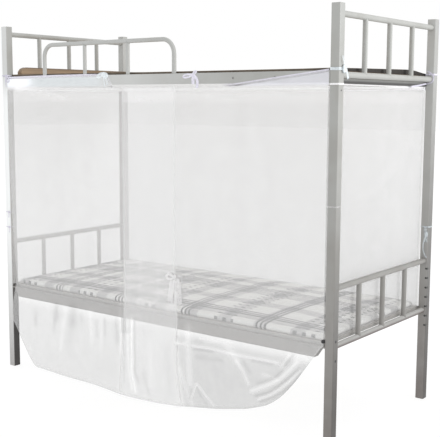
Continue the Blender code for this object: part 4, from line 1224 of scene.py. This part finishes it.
def dressBed():
    slots = {row["node"]: row["material_slot"] for row in frame["record"]["subparts"]}
    for name, node in frame["nodes"].items():
        finish = dress.get(name) or dress.get(slots[name])
        if finish:
            node.data.materials.clear()
            node.data.materials.append(finishes[finish])


dressBed()
print("bed dressed")


guardRail = {                           # one tube, bent cold over a mandrel, and two bars coped to it
    "legs": (-0.688, 0.158),
    "bends": (0.058, 0.066),
    "top": 1.6865,
    "y": -0.4355,
    "tube": 0.010,
    "bars": (-0.4030, -0.1210),
    "bar": 0.009,
}


def makeGuardRail():
    g = guardRail
    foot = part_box("guard_rail")[0].z
    (left, right), (leftBend, rightBend) = g["legs"], g["bends"]

    def finishTube(name, bm, replaced):
        bmesh.ops.holes_fill(bm, edges=bm.edges[:])
        bmesh.ops.recalc_face_normals(bm, faces=bm.faces)
        for edge in bm.edges:
            edge.smooth = edge.calc_face_angle(0.0) < 1.0
        finishPiece(name, bm, "guard", "painted_steel", replaced)

    def ringAt(bm, x, radius):
        ring = bmesh.ops.create_circle(bm, radius=radius, segments=20)["verts"]
        bmesh.ops.translate(bm, verts=ring, vec=(x, g["y"], foot))
        return ring

    def edgesOf(ring):
        return [e for e in {e for v in ring for e in v.link_edges} if all(v in ring for v in e.verts)]

    def vertsIn(made):
        return [v for v in made if isinstance(v, bmesh.types.BMVert)]

    def drawOut(bm, ring, way):
        ring = vertsIn(bmesh.ops.extrude_edge_only(bm, edges=edgesOf(ring))["geom"])
        bmesh.ops.translate(bm, verts=ring, vec=way)
        return ring

    def bendOver(bm, ring, centreX, radius):
        return vertsIn(bmesh.ops.spin(
            bm, geom=edgesOf(ring), cent=(centreX, g["y"], g["top"] - radius), axis=(0, 1, 0), dvec=(0, 0, 0),
            angle=math.pi / 2, steps=10, use_merge=False,
        )["geom_last"])

    bm = bmesh.new()
    ring = drawOut(bm, ringAt(bm, left, g["tube"]), (0, 0, g["top"] - leftBend - foot))
    ring = bendOver(bm, ring, left + leftBend, leftBend)
    ring = drawOut(bm, ring, (right - rightBend - left - leftBend, 0, 0))
    ring = bendOver(bm, ring, right - rightBend, rightBend)
    drawOut(bm, ring, (0, 0, foot - g["top"] + rightBend))
    finishTube("bent_guard_rail", bm, "guard_rail")
    for number, x in enumerate(g["bars"], start=1):
        bm = bmesh.new()
        for vert in drawOut(bm, ringAt(bm, x, g["bar"]), (0, 0, g["top"] - foot)):
            vert.co.z -= math.sqrt(g["tube"] ** 2 - (vert.co.y - g["y"]) ** 2)
        finishTube(f"guard_upright_{number}", bm, f"guard_bar_{number}")


makeGuardRail()
print("guard rail made")


upperBoard = {                          # its cut right end has swollen and crowned; painted shade makes it almost black
    "from": 0.80,
    "worn": 0.0028,                     # how much thinner the board is right of its batten
    "swell": ((-0.43, 0.001), (-0.20, 0.006), (0.24, 0.014), (0.30, 0.012), (0.41, 0.000)),
    "round": 0.0012,
    "cuts": (60, 24),
}


def makeUpperBoard():
    u = upperBoard
    low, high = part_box("upper_deck")
    size, middle = high - low, (high + low) / 2 - Vector((0, setBack, 0))
    bm = bmesh.new()
    bmesh.ops.create_cube(bm, size=1.0)
    bmesh.ops.scale(bm, verts=bm.verts, vec=size)
    bmesh.ops.translate(bm, verts=bm.verts, vec=middle)
    for axis, cuts in enumerate(u["cuts"]):
        along = [e for e in bm.edges if abs((e.verts[0].co - e.verts[1].co)[axis]) > size[axis] * 0.9]
        bmesh.ops.subdivide_edges(bm, edges=along, cuts=cuts, use_grid_fill=True)
    rims = [e for e in bm.edges if e.calc_face_angle(0.0) > 1.0]
    bmesh.ops.bevel(bm, geom=rims, offset=u["round"], segments=2, affect="EDGES", profile=0.5, material=-1)
    for vert in bm.verts:
        if vert.co.z > middle.z:
            swell = rising(vert.co.x, u["from"], high.x) * np.interp(vert.co.y, *zip(*u["swell"]))
            vert.co.z += float(swell - u["worn"] * rising(vert.co.x, -0.25, 0.0))
    finishPiece("upper_board", bm, "plywood", "plywood", "upper_deck", smooth=False)


makeUpperBoard()
print("upper board made")


screws = {
    "head": 0.0052,                     # radius
    "rise": 0.0014,
    "socket": 0.0026,
    "socketRise": 0.0006,
    "places": (                         # x and height, on the upper and then the lower front rail
        (0.492, 1.511), (0.703, 1.512), (-0.492, 1.511), (-0.703, 1.512),
        (0.497, 0.422), (0.705, 0.424), (0.890, 0.428), (-0.497, 0.422), (-0.705, 0.424),
    ),
}
holes = {
    "radius": 0.0060,
    "rise": 0.0007,
    "column": (0.636, 0.591, 0.545, 0.500, 0.455, 0.409, 0.364),    # heights of a back post's spare holes
    "sideX": 1.0,                       # the posts' outer faces
    "backFace": (0.9940, 0.410),
    "backY": 0.4165,
    "frontY": -0.430,
    "front": ((1.458, 0.6), (0.461, 1.0), (0.381, 1.0)),            # height, and share of the radius
    "hookPlug": (0.954, 0.459),         # the cloth is caught behind it
    "hookRadius": 0.0085,
    "hookRise": 0.0088,
}


def addDisc(bm, centre, out, radius, depth):
    centre, out = Vector(centre), Vector(out)
    top = depth - 0.0003                # its foot is sunk a little

    def onTop(vert):
        return abs((vert.co - centre).dot(out) - top) < 1e-5

    turn = out.to_track_quat("Z", "Y").to_matrix().to_4x4()
    made = bmesh.ops.create_cone(
        bm, cap_ends=True, segments=20, radius1=radius, radius2=radius * 0.86, depth=depth,
        matrix=Matrix.Translation(centre + out * (top - depth / 2)) @ turn,
    )["verts"]
    rim = [e for e in {e for v in made for e in v.link_edges} if e.calc_length() < radius and e.is_manifold]
    bmesh.ops.bevel(
        bm, geom=[e for e in rim if onTop(e.verts[0]) and onTop(e.verts[1])],
        offset=depth * 0.3, segments=2, affect="EDGES", profile=0.5, material=-1,
    )


def makeScrews():
    s = screws
    heads, sockets = bmesh.new(), bmesh.new()
    for x, z in s["places"]:
        addDisc(heads, (x, bed["railFace"], z), front, s["head"], s["rise"])
        addDisc(sockets, (x, bed["railFace"] - s["rise"] + 0.0004, z), front, s["socket"], s["socketRise"])
    finishPiece("screw_heads", heads, "zinc", "painted_steel", smooth=False)
    finishPiece("screw_sockets", sockets, "nylon", "painted_steel", smooth=False)


def makeHolePlugs():
    h = holes
    bm = bmesh.new()
    backX, backFace = h["backFace"]
    for z in h["column"]:
        for side in (-1, 1):            # each spare hole opens on both sides of its corner
            addDisc(bm, (side * backX, backFace, z), front, h["radius"] * 0.85, h["rise"])
            addDisc(bm, (side * h["sideX"], h["backY"], z), (side, 0, 0), h["radius"], h["rise"])
    for z, share in h["front"]:
        for side in (-1, 1):
            addDisc(bm, (side * h["sideX"], h["frontY"], z), (side, 0, 0), h["radius"] * share, h["rise"])
    plugX, plugZ = h["hookPlug"]
    addDisc(bm, (plugX, bed["railFace"], plugZ), front, h["hookRadius"], h["hookRise"])
    finishPiece("hole_plugs", bm, "nylon", "painted_steel", smooth=False)


makeScrews()
makeHolePlugs()
print("screws and plugs made")


welds = {
    "bead": 0.0016,
    "around": 0.0003,                   # how far a bead lies outside its tube
    "endTube": 0.0125,
    "upright": 0.011,
    "frames": ((1.752, 1.519), (0.673, 0.4345)),
    "postFace": 0.4097,                 # where an end tube meets its post
    "uprights": (-0.2125, 0.0, 0.2125),
}


def weldPaths():
    w, g = welds, guardRail
    turns = np.linspace(0, math.tau, 24, endpoint=False)
    endTube = w["endTube"] + w["around"] + 0.0001
    upright = w["upright"] + w["around"]

    def cope(tube, offset):             # the saddle where one round tube meets another
        return math.sqrt(tube ** 2 - offset ** 2 + 1e-9)

    for side in (-1, 1):
        x = side * bed["postX"]
        for heights in w["frames"]:
            for z in heights:
                for y in (-w["postFace"], w["postFace"]):
                    yield [(x + endTube * math.cos(t), y, z + endTube * math.sin(t)) for t in turns]
            for y in w["uprights"]:
                for z, way in zip(heights, (-1, 1)):
                    yield [(
                        x + upright * math.cos(t), y + upright * math.sin(t),
                        z + way * cope(w["endTube"], upright * math.cos(t)),
                    ) for t in turns]
    for x, radius in [(x, g["tube"]) for x in g["legs"]] + [(x, g["bar"]) for x in g["bars"]]:
        r = radius + w["around"]
        yield [(x + r * math.cos(t), g["y"] + r * math.sin(t), bed["guardFoot"]) for t in turns]
    for x in g["bars"]:
        r = g["bar"] + w["around"]
        yield [(
            x + r * math.cos(t), g["y"] + r * math.sin(t), g["top"] - cope(g["tube"], r * math.sin(t)),
        ) for t in turns]


def makeWelds():
    drawn = bpy.data.curves.new("weld_beads", "CURVE")
    drawn.dimensions = "3D"
    drawn.bevel_depth = welds["bead"]
    drawn.bevel_resolution = 2
    for path in weldPaths():
        spline = drawn.splines.new("POLY")
        spline.points.add(len(path) - 1)
        for knot, point in zip(spline.points, path):
            knot.co = (*point, 1.0)
        spline.use_cyclic_u = True
    curve = bpy.data.objects.new("weld_curve", drawn)
    bpy.context.scene.collection.objects.link(curve)
    bpy.context.view_layer.update()
    mesh = bpy.data.meshes.new_from_object(curve.evaluated_get(bpy.context.evaluated_depsgraph_get()))
    bpy.data.objects.remove(curve)
    bm = bmesh.new()
    bm.from_mesh(mesh)
    bpy.data.meshes.remove(mesh)
    bmesh.ops.recalc_face_normals(bm, faces=bm.faces)
    finishPiece("weld_beads", bm, "steel", "painted_steel")


makeWelds()
print("weld beads made")


def declareSheets():
    carried = ([tapes[0], *ties["left"]], ties["right"])
    for (door, wide, area), pieces in zip(doors, carried):
        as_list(pieces)


declareSheets()
